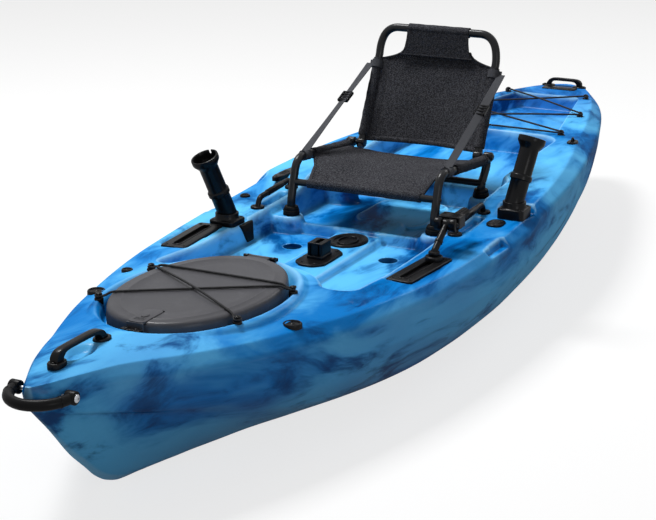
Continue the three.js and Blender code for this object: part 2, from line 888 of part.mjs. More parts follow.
function tankWell(grow) {
  const outline = corneredOutline(
    (more) => [
      [-tankFrontHalfWidth - more, alongHull(tankFrontShare) - more],
      [tankFrontHalfWidth + more, alongHull(tankFrontShare) - more],
      [tankRearHalfWidth + more, alongHull(tankRearShare) + more],
      [-tankRearHalfWidth - more, alongHull(tankRearShare) + more],
    ],
    tankCorner,
  );
  return stack(outline, [[tankFloor - grow, grow - wellDraft], [hullHeight, grow], [deckTop, grow]]);
}

function trackHeightAt() {
  return deckHeight(trackOffset, alongHull(trackPlaceShare));
}

function trackPocket(side, grow) {
  const floor = trackHeightAt() - trackRecess - grow;
  return stack(
    boxOutline(trackHalfWidth + runningGap, trackHalfLength + runningGap, bevelDepth / 4),
    [[floor, grow], [deckTop, grow]],
    side * trackOffset,
    alongHull(trackPlaceShare),
    -side * trackTurnShare * Math.PI,
  );
}

function sideScoop(side, grow) {
  const y = alongHull(scoopPlaceShare);
  const station = stationOf(y);
  const depth = scoopDepth + grow;
  return block(
    scoopWidth + 2 * grow,
    scoopLength + 2 * grow,
    depth + cutOverrun,
    at(side * (shoulderOut(station) - grow), y, edgeHeight(station) - depth + (depth + cutOverrun) / 2),
  );
}

function gripPocket(side, grow) {
  const run = lengthwise(sideHandleFrontShare, sideHandleRearShare);
  const top = Math.min(...[-1, 1].map((end) => edgeHeight(stationOf(run.middle + end * gripPocketHalfLength))));
  return stack(
    boxOutline(gripPocketHalfWidth, gripPocketHalfLength, gripPocketHalfWidth / 2),
    [[top - gripPocketDepth - grow, grow], [deckTop, grow]],
    side * sideHandleOffset,
    run.middle,
  );
}

const scuppers = [-1, 1].flatMap((side) => [
  { x: side * scupperOffset, y: alongHull(scupperPlaceShare), radius: scupperRadius },
  { x: side * tankScupperOffset, y: alongHull(tankScupperPlaceShare), radius: drainRadius },
  { x: side * drainOffset, y: alongHull(drainPlaceShare), radius: drainRadius },
]);

function scupperShaft(scupper, grow) {
  return stack(roundOutline(scupper.radius), [[-cutOverrun, grow], [deckTop, grow]], scupper.x, scupper.y);
}

function wells(grow) {
  const sided = [-1, 1].flatMap((side) => [
    trackPocket(side, grow),
    sideScoop(side, grow),
    gripPocket(side, grow),
  ]);
  return [hatchRecess(grow), cockpit(grow), aftWell(grow), tankWell(grow), ...sided];
}

function hatchMouth() {
  return stack(
    lidOutline,
    [[cockpitFloor - cutOverrun, -coamingInset - coamingWall], [deckTop, -coamingInset - coamingWall]],
    0,
    hatchY,
  );
}

function coaming() {
  const floor = lidSeatHeight - recessDrop - hullWall;
  return stack(
    lidOutline,
    [[floor, -coamingInset], [lidSeatHeight - recessDrop + coamingHeight, -coamingInset]],
    0,
    hatchY,
  );
}

// The hull as a full block, which the fittings are bedded on.
const outerForm = cut(join(hullBody(), hatchRim()), wells(0));

function buildHull() {
  const shafts = scuppers.map((scupper) => scupperShaft(scupper, hullWall));
  const hollow = cut(hullHollow(), wells(hullWall), shafts);
  const bores = scuppers.map((scupper) => scupperShaft(scupper, 0));
  return cut(join(outerForm, coaming()), hollow, hatchMouth(), bores, grabBores());
}

function bedded(body) {
  return cut(body, moved(outerForm, at(0, 0, seatGap)));
}

// A body drawn on the XY plane, set on the deck at a place and tilted to lie on it.
function onDeck(body, x, y, sink = 0) {
  const reach = hullWall;
  const height = deckHeight(x, y);
  const across = Math.atan2(deckHeight(x + reach, y) - height, reach) * (180 / Math.PI);
  const along = Math.atan2(deckHeight(x, y + reach) - height, reach) * (180 / Math.PI);
  return moved(body.rotate([along, -across, 0]), at(x, y, height + seatGap - sink));
}

// Front hatch: lid, gasket, hinge barrel, latch and catch
const hingeY = hatchY + lidHalfLength + recessMargin + lidHingeBack;

function buildLid() {
  const outer = stack(
    lidOutline,
    [
      [lidSeatHeight, -lidEdgeRound / 4],
      [lidSeatHeight + lidHeight / 6, 0],
      [lidSeatHeight + lidHeight * (2 / 3), -lidEdgeRound / 4],
      [lidTop - lidHeight / 9, -lidEdgeRound],
      [lidTop, -3 * lidEdgeRound],
    ],
    0,
    hatchY,
  );
  const under = stack(
    lidOutline,
    [[lidSeatHeight - cutOverrun, -2 * lidWall], [lidTop - lidWall, -4 * lidWall]],
    0,
    hatchY,
  );
  const web = block(
    lidHingeLength,
    recessMargin + lidHingeBack + 2 * lidWall,
    lidHingeRadius,
    at(0, hingeY - (recessMargin + lidHingeBack) / 2 - lidWall, lidHingeHeight),
  );
  const barrel = crossBar(lidHingeLength / 2, lidHingeRadius, hingeY, lidHingeHeight);
  const bore = crossBar(lidHingeLength, lidPinRadius + seatGap, hingeY, lidHingeHeight);
  return cut(join(cut(outer, cut(under, latchBoss(0))), web, barrel), latchSlot(), bore);
}

// A round bar across the hull, centred on the middle plane.
function crossBar(halfLength, radius, y, z, sides = tubeSides) {
  return straightBar(at(-halfLength, y, z), at(halfLength, y, z), radius, sides);
}

// The thicker part of the lid's top below the latch.
function latchBoss(grow) {
  const drop = latchThickness + seatGap + lidWall + grow;
  return block(
    2 * (latchHalfWidth + runningGap + lidWall + grow),
    2 * (latchLength + lidWall + grow),
    2 * drop,
    at(0, hatchY - lidHalfLength, lidTop),
  );
}

function latchSlot() {
  const y = hatchY - lidHalfLength;
  return block(
    2 * (latchHalfWidth + runningGap),
    2 * latchLength,
    2 * (latchThickness + seatGap),
    at(0, y, lidTop),
  );
}

function buildGasket() {
  const low = lidSeatHeight - recessDrop + coamingHeight + seatGap;
  const high = lidTop - lidWall - seatGap;
  return cut(
    stack(lidOutline, [[low, -coamingInset], [high, -coamingInset]], 0, hatchY),
    stack(lidOutline, [[low - seatGap, -coamingInset - gasketWidth], [lidTop, -coamingInset - gasketWidth]], 0, hatchY),
    latchBoss(seatGap),
  );
}

function latchPivot() {
  return at(
    0,
    hatchY - lidHalfLength + latchLength - runningGap - latchThickness / 2,
    lidTop - latchSink + latchThickness / 2,
  );
}

function buildLatch() {
  const pivot = latchPivot();
  const low = lidTop - latchSink;
  const inner = hatchY - lidHalfLength - latchSideGap;
  const tip = lidTop - latchHookDrop;
  const plate = profileSlab(
    [
      [pivot.y, low],
      [pivot.y, low + latchThickness],
      [inner - latchThickness / 2, low + latchThickness],
      [inner - latchThickness, low],
      [inner - latchThickness, tip],
      [inner, tip],
      [inner, low],
    ],
    latchHalfWidth,
  );
  return join(plate, crossBar(latchHalfWidth, latchThickness / 2, pivot.y, pivot.z));
}

function buildLatchCatch() {
  const y = hatchY - lidHalfLength - dishMargins[0] - catchDepth / 2;
  const top = dishHeights[1] + catchHeight / 2;
  const plate = stack(boxOutline(catchHalfWidth, catchDepth / 2, catchDepth / 4), [
    [dishHeights[0] - hullWall, 0],
    [top, 0],
  ], 0, y);
  const screws = [-1, 1].map((side) =>
    moved(screwHead(), at((side * catchHalfWidth) / 2, y, top)),
  );
  return bedded(join(plate, screws));
}

function screwHead() {
  return turnedShape([
    [0, -screwHeight],
    [screwRadius, -screwHeight],
    [screwRadius, screwHeight / 2],
    [screwRadius / 2, screwHeight],
    [0, screwHeight],
  ], tubeSides);
}

function buildHatchHinge() {
  const outer = lidHingeLength / 2 + runningGap + hingeKnuckleLength;
  const pin = crossBar(outer, lidPinRadius, hingeY, lidHingeHeight);
  const knuckles = [-1, 1].flatMap((side) => {
    const near = side * (outer - hingeKnuckleLength);
    const middle = side * (outer - hingeKnuckleLength / 2);
    return [
      straightBar(at(near, hingeY, lidHingeHeight), at(side * outer, hingeY, lidHingeHeight), lidHingeRadius),
      block(
        hingeKnuckleLength,
        hingeFootDepth,
        lidHingeRadius + hingeFootDepth,
        at(middle, hingeY + hingeFootDepth / 2, lidHingeHeight - (lidHingeRadius + hingeFootDepth) / 2),
      ),
    ];
  });
  return bedded(join(pin, knuckles));
}

// Cords and their hooks
function buildHook(hook) {
  return bedded(
    moved(
      turnedShape(
        [
          [0, -hookRoot],
          [hookRadius, -hookRoot],
          [hookRadius, hookBaseHeight / 2],
          [hookRadius - hookBaseHeight / 2, hookBaseHeight],
          [hookPostRadius, hookBaseHeight],
          [hookPostRadius, hookBaseHeight + 2 * cordRadius + 2 * cordPlay],
          [hookCapRadius, hookBaseHeight + 2 * cordRadius + 2 * cordPlay],
          [hookCapRadius, hookHeight - cordPlay],
          [hookPostRadius, hookHeight],
          [0, hookHeight],
        ],
        hookFacets,
      ),
      hook,
    ),
  );
}

// The points of a cord that goes round its hooks in turn; between two hooks it passes the given points.
function cordRoute(hooks, between) {
  const radius = hookPostRadius + cordRadius + cordPlay;
  const rise = hookBaseHeight + cordRadius + cordPlay;
  const heading = (a, b) => Math.atan2(b.y - a.y, b.x - a.x);
  return hooks.flatMap((hook, i) => {
    const before = hooks[i - 1];
    const after = hooks[i + 1];
    const out = after ? heading(hook, after) : heading(before, hook) + (Math.PI * 6) / 5;
    const into = before ? heading(before, hook) : out - (Math.PI * 6) / 5;
    let turn = out - into;
    if (before && after) turn = Math.atan2(Math.sin(turn), Math.cos(turn));
    const side = Math.sign(turn);
    const arc = Array.from({ length: wrapSteps + 1 }, (_, k) => {
      const angle = into + (turn * k) / wrapSteps - (side * Math.PI) / 2;
      return at(hook.x + Math.cos(angle) * radius, hook.y + Math.sin(angle) * radius, hook.z + rise);
    });
    return [...arc, ...(between[i] ? between[i](hook, after, rise) : [])];
  });
}

function towards(from, to, distance) {
  return from.clone().add(to.clone().sub(from).setLength(distance));
}

// Up over the lid's edge and down again, with the middle lifted where two runs cross.
function overLid(lift) {
  return (from, to, rise) => {
    const top = lidTop + cordRadius + cordPlay;
    const edge = lidTop + cordRadius / 2 + cordPlay;
    const clear = hookCapRadius + 2 * cordRadius + 2 * cordPlay;
    const level = (point, z) => at(point.x, point.y, z);
    const [near, far] = cordClimbs;
    return [
      level(towards(from, to, clear), from.z + rise),
      level(towards(from, to, near), edge),
      level(towards(from, to, far), top),
      level(from.clone().lerp(to, 1 / 2), top + lift),
      level(towards(to, from, far), top),
      level(towards(to, from, near), edge),
      level(towards(to, from, clear), to.z + rise),
    ];
  };
}

function overWell(lift) {
  return (from, to, rise) => {
    const middle = from.clone().lerp(to, 1 / 2);
    return [at(middle.x, middle.y, middle.z + rise + lift)];
  };
}

const hatchHooks = {
  frontLeft: at(-hatchHookFrontOffset, alongHull(hatchHookFrontShare), rimHeight),
  frontRight: at(hatchHookFrontOffset, alongHull(hatchHookFrontShare), rimHeight),
  rearLeft: at(-hatchHookRearOffset, alongHull(hatchHookRearShare), rimHeight),
  rearRight: at(hatchHookRearOffset, alongHull(hatchHookRearShare), rimHeight),
};

const sternHooks = [-1, 1].map((side) =>
  sternHookShares.map((share, i) => {
    const x = side * sternHookOffsetShares[i] * halfBeam;
    return at(x, alongHull(share), deckHeight(x, alongHull(share)));
  }),
);

function buildHatchCord() {
  const { frontLeft, frontRight, rearLeft, rearRight } = hatchHooks;
  const route = cordRoute(
    [frontLeft, rearRight, rearLeft, frontRight],
    [overLid(0), overLid(0), overLid(cordCrossLift)],
  );
  return rod(route, cordRadius, cordSides);
}

function buildSternBungee() {
  const [left, right] = sternHooks;
  const route = cordRoute(
    [right[2], left[1], right[0], left[0], right[1], left[2]],
    [overWell(0), overWell(0), overWell(0), overWell(cordCrossLift), overWell(cordCrossLift)],
  );
  return rod(route, cordRadius, cordSides);
}

// Handles. The carry handle lies along Y with its feet's middles a given length apart.
function carryHandle(length) {
  const profile = [...handleOuterShares, ...handleInnerShares].map(([along, up]) => [
    (along - 1 / 2) * length,
    up * handleRise,
  ]);
  const feet = [-1, 1].flatMap((end) => {
    const y = (end * length) / 2;
    const foot = stack(
      ovalOutline(handleFootHalfWidth, handleFootHalfLength),
      [[-handleFootDepth, 0], [handleFootHeight, -screwHeight / 2]],
      0,
      y,
    );
    const screwY = y + end * (handleFootHalfLength - 2 * screwRadius);
    return [foot, moved(screwHead(), at(0, screwY, handleFootHeight))];
  });
  return join(profileSlab(profile, handleBarHalfWidth), feet);
}

function buildBowHandle() {
  const run = lengthwise(bowHandleFrontShare, bowHandleRearShare);
  return bedded(onDeck(carryHandle(2 * run.half), 0, run.middle));
}

function buildSternHandle() {
  return bedded(onDeck(carryHandle(2 * sternHandleHalfWidth).rotate([0, 0, 90]), 0, alongHull(sternHandleShare)));
}

const grabPivotY = alongHull(grabPivotShare);
const grabHalfWidth = grabHalfWidthShare * halfBeam;

function grabBores() {
  const depth = grabHalfWidth - grabBarRadius - grabBoltDepth;
  return [-1, 1].map((side) =>
    straightBar(
      at(side * (depth - seatGap), grabPivotY, grabPivotHeight),
      at(side * (grabHalfWidth + cutOverrun), grabPivotY, grabPivotHeight),
      grabBoltRadius + runningGap,
    ),
  );
}

function buildGrabHandle() {
  const path = Array.from({ length: grabSteps + 1 }, (_, i) => {
    const angle = (i / grabSteps) * Math.PI;
    const x = -Math.cos(angle) * grabHalfWidth;
    return at(x, grabPivotY - Math.sin(angle) * grabReach, grabPivotHeight);
  });
  const eyes = [-1, 1].map((side) =>
    straightBar(
      at(side * (grabHalfWidth - grabBarRadius), grabPivotY, grabPivotHeight),
      at(side * (grabHalfWidth + grabBarRadius), grabPivotY, grabPivotHeight),
      grabEyeRadius,
      roundFacets,
    ),
  );
  return cut(join(rod(path, grabBarRadius, tubeSides), eyes), grabBores());
}

function buildGrabBolt(side) {
  const inner = grabHalfWidth - grabBarRadius - grabBoltDepth;
  const outer = grabHalfWidth + grabBarRadius + seatGap;
  const level = (x) => at(side * x, grabPivotY, grabPivotHeight);
  return join(
    straightBar(level(inner), level(outer + grabBoltHeadHeight / 2), grabBoltRadius),
    straightBar(level(outer), level(outer + grabBoltHeadHeight), grabBoltHead, roundFacets),
  );
}

// Deck fittings
function buildPlug(x, y, radius) {
  const head = Math.min(screwRadius, radius / 3);
  const plug = turnedShape([
    [0, -plugHeight],
    [radius, -plugHeight],
    [radius, plugHeight / 2],
    [radius - plugRim, plugHeight],
    [radius - 2 * plugRim, plugHeight],
    [radius - 2 * plugRim, plugHeight - plugRim / 2],
    [head, plugHeight - plugRim / 2],
    [head, plugHeight],
    [0, plugHeight],
  ]);
  return bedded(onDeck(plug, x, y));
}

function padEye() {
  const plate = stack(boxOutline(padEyeHalfWidth, padEyeHalfLength, padEyeHalfWidth - padEyeWire), [
    [-padEyeHeight, 0],
    [padEyeHeight, 0],
  ]);
  const reach = padEyeHalfLength - 2 * padEyeLoop + padEyeWire;
  const loop = rod(
    bentPath(
      [
        at(0, -reach, padEyeHeight / 2),
        at(0, -reach, padEyeHeight + padEyeLoop),
        at(0, reach, padEyeHeight + padEyeLoop),
        at(0, reach, padEyeHeight / 2),
      ],
      [padEyeLoop / 2, padEyeLoop / 2],
    ),
    padEyeWire,
    cordSides,
  );
  return join(plate, loop);
}

function buildPadEye(side) {
  return bedded(onDeck(padEye(), side * padEyeOutShare * halfBeam, alongHull(padEyePlaceShare)));
}

function trackTurn(side) {
  return -side * trackTurnShare * Math.PI;
}

function onTrack(outline, levels, side) {
  return stack(outline, levels, side * trackOffset, alongHull(trackPlaceShare), trackTurn(side));
}

const trackFloor = trackHeightAt() - trackRecess + seatGap;
const trackTop = trackFloor + trackHeight;

function buildTrack(side) {
  const slotLength = trackHalfLength - trackSlotInset;
  const corner = trackSlotHalfWidth / 2;
  return cut(
    onTrack(boxOutline(trackHalfWidth, trackHalfLength, bevelDepth / 4), [[trackFloor, 0], [trackTop, 0]], side),
    onTrack(
      boxOutline(trackSlotHalfWidth, slotLength, corner),
      [[trackTop - trackLip - seatGap, 0], [deckTop, 0]],
      side,
    ),
    onTrack(
      boxOutline(trackSlotHalfWidth + trackUndercut, slotLength - corner / 2, corner),
      [[trackTop - trackSlotDepth, 0], [trackTop - trackLip, 0]],
      side,
    ),
  );
}

// The mount rides on the track of the +X side.
const mountY =
  alongHull(trackPlaceShare) + trackHalfLength - trackSlotInset - keyHalfLength - mountEndGap;
const mountX = trackOffset + Math.tan(trackTurnShare * Math.PI) * (mountY - alongHull(trackPlaceShare));
const carriageTop = trackTop + seatGap + carriageHeight;
const postTop = leaningPoint(postLength, postLeanShares).add(
  at(mountX, mountY, carriageTop + seatGap + postStub),
);

function leaningPoint(length, [leanX, leanY]) {
  return at(leanX, leanY, 1).setLength(length);
}

function buildCarriage() {
  const base = stack(roundOutline(carriageRadius), [
    [trackTop + seatGap, 0],
    [carriageTop - carriageHeight / 3, 0],
    [carriageTop, -carriageHeight / 3],
  ]);
  const neck = stack(boxOutline(trackSlotHalfWidth - runningGap, keyHalfLength, trackSlotHalfWidth / 2), [
    [trackTop - trackSlotDepth + seatGap, 0],
    [trackTop + 2 * seatGap, 0],
  ]);
  const foot = stack(
    boxOutline(trackSlotHalfWidth + trackUndercut - runningGap, keyHalfLength, trackSlotHalfWidth / 2),
    [[trackTop - trackSlotDepth + seatGap, 0], [trackTop - trackLip - seatGap, 0]],
  );
  const turned = join(base, neck, foot).rotate([0, 0, (trackTurn(1) * 180) / Math.PI]);
  return moved(turned, at(mountX, mountY, 0));
}

function buildPost() {
  const low = carriageTop + seatGap;
  const knee = at(mountX, mountY, low + postStub);
  const foot = straightBar(at(mountX, mountY, low), knee, postFootRadius, roundFacets);
  const eye = straightBar(
    postTop.clone().add(at(-postEyeHalfWidth, 0, 0)),
    postTop.clone().add(at(postEyeHalfWidth, 0, 0)),
    postEyeRadius,
    roundFacets,
  );
  const bore = straightBar(
    postTop.clone().add(at(-2 * postEyeHalfWidth, 0, 0)),
    postTop.clone().add(at(2 * postEyeHalfWidth, 0, 0)),
    headPinRadius + runningGap,
  );
  const tie = straightBar(knee, postTop, postRadius);
  return cut(join(foot, tie, eye), bore);
}

function buildMountHead() {
  const { x, y, z } = postTop;
  const top = z + headHalfHeight;
  const low = z - headHalfHeight;
  const body = profileSlab(
    [
      [y - headFront, low + headHalfHeight / 2],
      [y - headFront, top - headHalfHeight / 3],
      [y - headFront / 2, top],
      [y + headRear, top],
      [y + headRear, low],
      [y - headFront / 2, low],
    ],
    headHalfWidthX,
    x,
  );
  const gap = postEyeHalfWidth + runningGap;
  const fork = block(2 * gap, 2 * (headFront + 2 * runningGap), headHalfHeight * 2 * 2, at(x, y, z));
  const pin = straightBar(at(x - headHalfWidthX, y, z), at(x + headHalfWidthX, y, z), headPinRadius);
  return join(cut(body, fork), pin);
}

function buildKnob() {
  const { x, y, z } = postTop;
  const start = y + headRear + seatGap;
  const teeth = new THREE.Shape(
    Array.from({ length: 2 * knobTeeth }, (_, i) => {
      const angle = (i / knobTeeth) * Math.PI;
      const radius = knobRadius * (i % 2 ? 1 - knobToothShare : 1);
      return new THREE.Vector2(Math.cos(angle) * radius, Math.sin(angle) * radius);
    }),
  );
  const grip = new THREE.ExtrudeGeometry(teeth, { depth: knobLength, bevelEnabled: false, steps: 1 });
  grip.rotateX(-Math.PI / 2);
  grip.translate(x, start + knobStemLength, z);
  const stem = straightBar(at(x, start, z), at(x, start + knobStemLength + knobLength / 4, z), knobStemRadius);
  return join(stem, solid(grip));
}

// Rod holders
const rodHolders = [
  {
    name: "left",
    x: -leftHolderOffset,
    y: alongHull(trackPlaceShare) + trackHalfLength + holderFlangeHalf + holderTrackGap,
    lean: leftHolderLeanShares,
  },
  { name: "right", x: rightHolderOffset, y: alongHull(rightHolderShare), lean: rightHolderLeanShares },
].map((holder) => ({
  ...holder,
  base: Math.max(
    ...[-1, 1].map((end) => deckHeight(holder.x, holder.y + end * holderFlangeHalf)),
  ),
}));

function buildHolderSocket(holder) {
  const top = holder.base + holderSocketHeight;
  const flange = stack(
    boxOutline(holderFlangeHalf, holderFlangeHalf, holderFlangeCorner),
    [
      [holder.base - 3 * holderFlangeHeight, 0],
      [holder.base + holderFlangeHeight / 2, 0],
      [holder.base + holderFlangeHeight, -holderFlangeHeight / 2],
    ],
    holder.x,
    holder.y,
  );
  const socket = stack(
    roundOutline(holderSocketRadius),
    [[holder.base, 0], [top, 0]],
    holder.x,
    holder.y,
  );
  const bore = stack(
    roundOutline(holderPinRadius + runningGap),
    [[top - holderPinLength - seatGap, 0], [deckTop, 0]],
    holder.x,
    holder.y,
  );
  const inset = holderFlangeHalf - 2 * screwRadius;
  const screws = [-1, 1].flatMap((sx) =>
    [-1, 1].map((sy) =>
      moved(screwHead(), at(holder.x + sx * inset, holder.y + sy * inset, holder.base + holderFlangeHeight)),
    ),
  );
  return bedded(cut(join(flange, socket, screws), bore));
}

function buildHolderTube(holder) {
  const mouthStart = holderTubeLength - holderMouthLength;
  const collar = holderTubeLength / 3;
  const inner = holderTubeRadius - holderTubeWall;
  const shell = turnedShape([
    [0, -holderTubeRadius],
    [holderTubeRadius, -holderTubeRadius],
    [holderTubeRadius, collar],
    [holderCollarRadius, collar + holderTubeWall],
    [holderCollarRadius, collar + holderCollarHeight],
    [holderTubeRadius, collar + holderCollarHeight + holderTubeWall],
    [holderTubeRadius, mouthStart],
    [holderMouthRadius, holderTubeLength - holderMouthLength / 2],
    [holderMouthRadius, holderTubeLength],
    [holderMouthRadius - 2 * holderTubeWall, holderTubeLength],
    [inner, mouthStart],
    [inner, holderTubeRadius + holderFloor],
    [0, holderTubeRadius + holderFloor],
  ]);
  const slot = block(
    2 * holderSlotHalfWidth,
    2 * holderMouthRadius + holderSlotDepth,
    2 * holderSlotDepth,
    at(0, 0, holderTubeLength),
  );
  const top = holder.base + holderSocketHeight;
  const stood = moved(leaning(cut(shell, slot), holder.lean), at(holder.x, holder.y, top));
  const below = stack(
    roundOutline(2 * holderMouthRadius),
    [[-deckTop, 0], [top + seatGap, 0]],
    holder.x,
    holder.y,
  );
  const pin = stack(
    roundOutline(holderPinRadius),
    [[top - holderPinLength, 0], [top + holderFloor, 0]],
    holder.x,
    holder.y,
  );
  return join(cut(stood, below), pin);
}

// Side handles and covers
function buildSideHandle(side) {
  const x = side * sideHandleOffset;
  const ends = [sideHandleFrontShare, sideHandleRearShare].map((share) => {
    const y = alongHull(share);
    return at(x, y, deckHeight(x, y));
  });
  const [front, rear] = ends;
  const raised = (point) => at(point.x, point.y, point.z + sideHandleRise);
  const bars = rod(
    bentPath(
      [front, raised(front).add(at(0, sideHandleEnd / 2, 0)), raised(rear).add(at(0, -sideHandleEnd / 2, 0)), rear],
      [sideHandleEnd / 2, sideHandleEnd / 2],
    ),
    sideHandleRadius,
  );
  const pads = ends.map((end) =>
    moved(
      stack(ovalOutline(sideHandlePadRadius, sideHandlePadRadius), [
        [-2 * sideHandlePadHeight, 0],
        [sideHandlePadHeight, 0],
      ]),
      end,
    ),
  );
  return bedded(join(bars, pads));
}

function buildCover() {
  const plate = stack(boxOutline(coverHalfWidth, coverHalfLength, coverHalfWidth - coverHeight / 2), [
    [-2 * coverHeight, 0],
    [coverHeight / 2, 0],
    [coverHeight, -coverHeight / 2],
  ]);
  return bedded(onDeck(plate, -coverOffset, alongHull(coverPlaceShare)));
}

function buildRibPlate() {
  const plate = stack(ovalOutline(ribPlateHalfWidth, ribPlateHalfLength), [
    [-ribPlateHeight, 0],
    [ribPlateHeight, -ribPlateHeight / 3],
  ]);
  return bedded(onDeck(plate, ribPlateOffset, alongHull(ribPlatePlaceShare)));
}

// Cockpit fittings
const consoleTopHeight = cockpitFloor + consoleHeight;

const bezelY = alongHull(ridgePlaceShare) - ridgeThickness / 2 - bezelHalfLength - bezelGap;

function buildAccessoryPlate() {
  const y = bezelY - bezelHalfLength - accessoryGap - accessoryHalfLength;
  const outline = (grow) => {
    const w = accessoryHalfWidth + grow;
    const l = accessoryHalfLength + grow;
    const c = accessoryChamfer;
    return [
      [-w, c - l], [c - w, -l], [w - c, -l], [w, c - l], [w, l - c], [w - c, l], [c - w, l], [-w, l - c],
    ].map(([px, py]) => new THREE.Vector2(px, py));
  };
  const low = consoleTopHeight + seatGap;
  const plate = stack(outline, [[low, 0], [low + accessoryThickness, 0]], 0, y);
  const top = low + accessoryThickness + socketHeight;
  const tower = stack(
    boxOutline(socketHalfWidth, socketHalfLength, accessoryThickness),
    [[low + accessoryThickness / 2, 0], [top, -accessoryThickness / 2]],
    0,
    y,
  );
  const slot = block(
    2 * socketSlotHalfWidth,
    2 * (socketHalfLength - accessoryThickness),
    2 * socketSlotDepth,
    at(0, y, top),
  );
  return cut(join(plate, tower), slot);
}

function buildBezel() {
  const y = bezelY;
  const low = consoleTopHeight + seatGap;
  return cut(
    stack(
      ovalOutline(bezelHalfWidth, bezelHalfLength),
      [[low, 0], [low + bezelHeight / 2, 0], [low + bezelHeight, -bezelHeight / 2]],
      0,
      y,
    ),
    stack(
      ovalOutline(bezelHalfWidth - bezelLip, bezelHalfLength - bezelLip),
      [[low + bezelFloor, 0], [deckTop, 0]],
      0,
      y,
    ),
  );
}

// The tapered pad on the cockpit's -X wall.
function buildWallPad() {
  const y = alongHull(wallPadPlaceShare);
  const foot = wallPadHalfLength * wallPadFootShare;
  const x = -(cockpitHalfWidth - wellDraft / 2);
  const pad = profileSlab(
    [
      [y - wallPadHalfLength, wallPadTop],
      [y - foot, wallPadBottom + wallPadThickness],
      [y + foot, wallPadBottom + wallPadThickness],
      [y + wallPadHalfLength, wallPadTop],
    ],
    wallPadThickness + wellDraft / 2,
    x,
  );
  return cut(pad, moved(outerForm, at(seatGap, 0, 0)));
}

function buildSternPlate() {
  const plate = stack(boxOutline(sternPlateHalfWidth, sternPlateHalfLength, sternPlateHalfLength / 2), [
    [-sternPlateHeight, 0],
    [sternPlateHeight, -sternPlateHeight / 3],
  ]);
  return bedded(onDeck(plate, 0, alongHull(sternPlatePlaceShare)));
}

// Seat. The frame's side is a path of [y, z] places; the backrest's hoop turns on it.
const pivotY = alongHull(pivotShare);
const kneeY = alongHull(kneeShare);
const heelY = alongHull(heelShare);
const frontFloor = footBossHeight + 2 * seatGap + footCupFloor;
const rearFloor = rearBossHeight + 2 * seatGap + footCupFloor;
const frontCrossbarHeight = legStraightHeight + frontCrossbarRise;
const hoopShoulderHeight = hoopHeight - hoopShoulderDrop;
const panelBottom = pivotHeight + panelRise;

function railHeight(y) {
  return kneeHeight + ((heelHeight - kneeHeight) * (y - kneeY)) / (heelY - kneeY);
}

function seatSide(side) {
  const x = side * seatHalfWidth;
  return bentPath(
    [
      at(x, frontFootY, frontFloor),
      at(x, frontFootY, legStraightHeight),
      at(x, kneeY, kneeHeight),
      at(x, heelY, heelHeight),
      at(x, rearFootY, rearLegHeight),
      at(x, rearFootY, rearFloor),
    ],
    [legReach, kneeReach, heelReach, rearLegReach],
  );
}

function crossbarY() {
  const rise = frontCrossbarRise / (kneeHeight - legStraightHeight);
  return frontFootY + (kneeY - frontFootY) * rise;
}

function seatTubes(grow) {
  return join(
    [-1, 1].map((side) => rod(seatSide(side), seatTubeRadius + grow, tubeSides)),
    crossBar(seatHalfWidth, crossbarRadius + grow, crossbarY(), frontCrossbarHeight),
    crossBar(seatHalfWidth, crossbarRadius + grow, rearFootY, rearCrossbarHeight),
  );
}

function pivotBar(side, from, to, radius) {
  return straightBar(
    at(side * from, pivotY, pivotHeight),
    at(side * to, pivotY, pivotHeight),
    radius,
    roundFacets,
  );
}

function buildSeatFrame() {
  const profile = gussetShares.map(([along, up]) => [alongHull(along), up * heelHeight]);
  const near = seatHalfWidth - seatTubeRadius;
  const far = seatHalfWidth + seatTubeRadius;
  const sides = [-1, 1].flatMap((side) => [
    profileSlab(profile, gussetHalfThickness, side * seatHalfWidth),
    pivotBar(side, near, far, pivotEyeRadius),
  ]);
  const bores = [-1, 1].map((side) =>
    pivotBar(side, near - seatTubeRadius, far + seatTubeRadius, pivotBoltRadius + seatGap),
  );
  return cut(join(seatTubes(0), sides), bores);
}

function buildFootCup(side, y, bossHeight) {
  const low = bossHeight + seatGap;
  const cup = turnedShape([
    [0, 0],
    [footCupRadius, 0],
    [footCupRadius, footCupHeight / 3],
    [footCupRadius - footCupLip, footCupHeight - footCupLip],
    [footCupRadius - 2 * footCupLip, footCupHeight],
    [seatTubeRadius + runningGap, footCupHeight],
    [seatTubeRadius + runningGap, footCupFloor],
    [0, footCupFloor],
  ]);
  return moved(cup, at(side * seatHalfWidth, y, low));
}

function hoopY(z) {
  const shoulder = hoopShoulderHeight;
  const upright = Math.min(z, shoulder) - pivotHeight;
  return pivotY + hoopLeanShare * upright + hoopTopLeanShare * Math.max(0, z - shoulder);
}

function hoopPoint(x, z) {
  return at(x, hoopY(z), z);
}

function hoopPath() {
  const half = (side) => [
    hoopPoint(side * hoopHalfWidth, pivotHeight - hoopTail),
    ...roundCorner(
      hoopPoint(side * hoopHalfWidth, hoopShoulderHeight),
      hoopPoint(side * hoopHalfWidth, hoopHeight),
      hoopPoint(side * hoopTopHalfWidth, hoopHeight),
      2 * cornerSteps,
    ),
  ];
  return [...half(-1), ...half(1).reverse()];
}

function buildHoop() {
  const outer = seatHalfWidth + seatTubeRadius + seatGap;
  const bolts = [-1, 1].flatMap((side) => [
    pivotBar(side, hoopHalfWidth, outer + pivotBoltHeadHeight / 2, pivotBoltRadius),
    pivotBar(side, outer, outer + pivotBoltHeadHeight, pivotBoltHead),
  ]);
  return join(rod(hoopPath(), seatTubeRadius), bolts);
}

const sleeveRadius = seatTubeRadius + sleeveGap + sleeveWall;

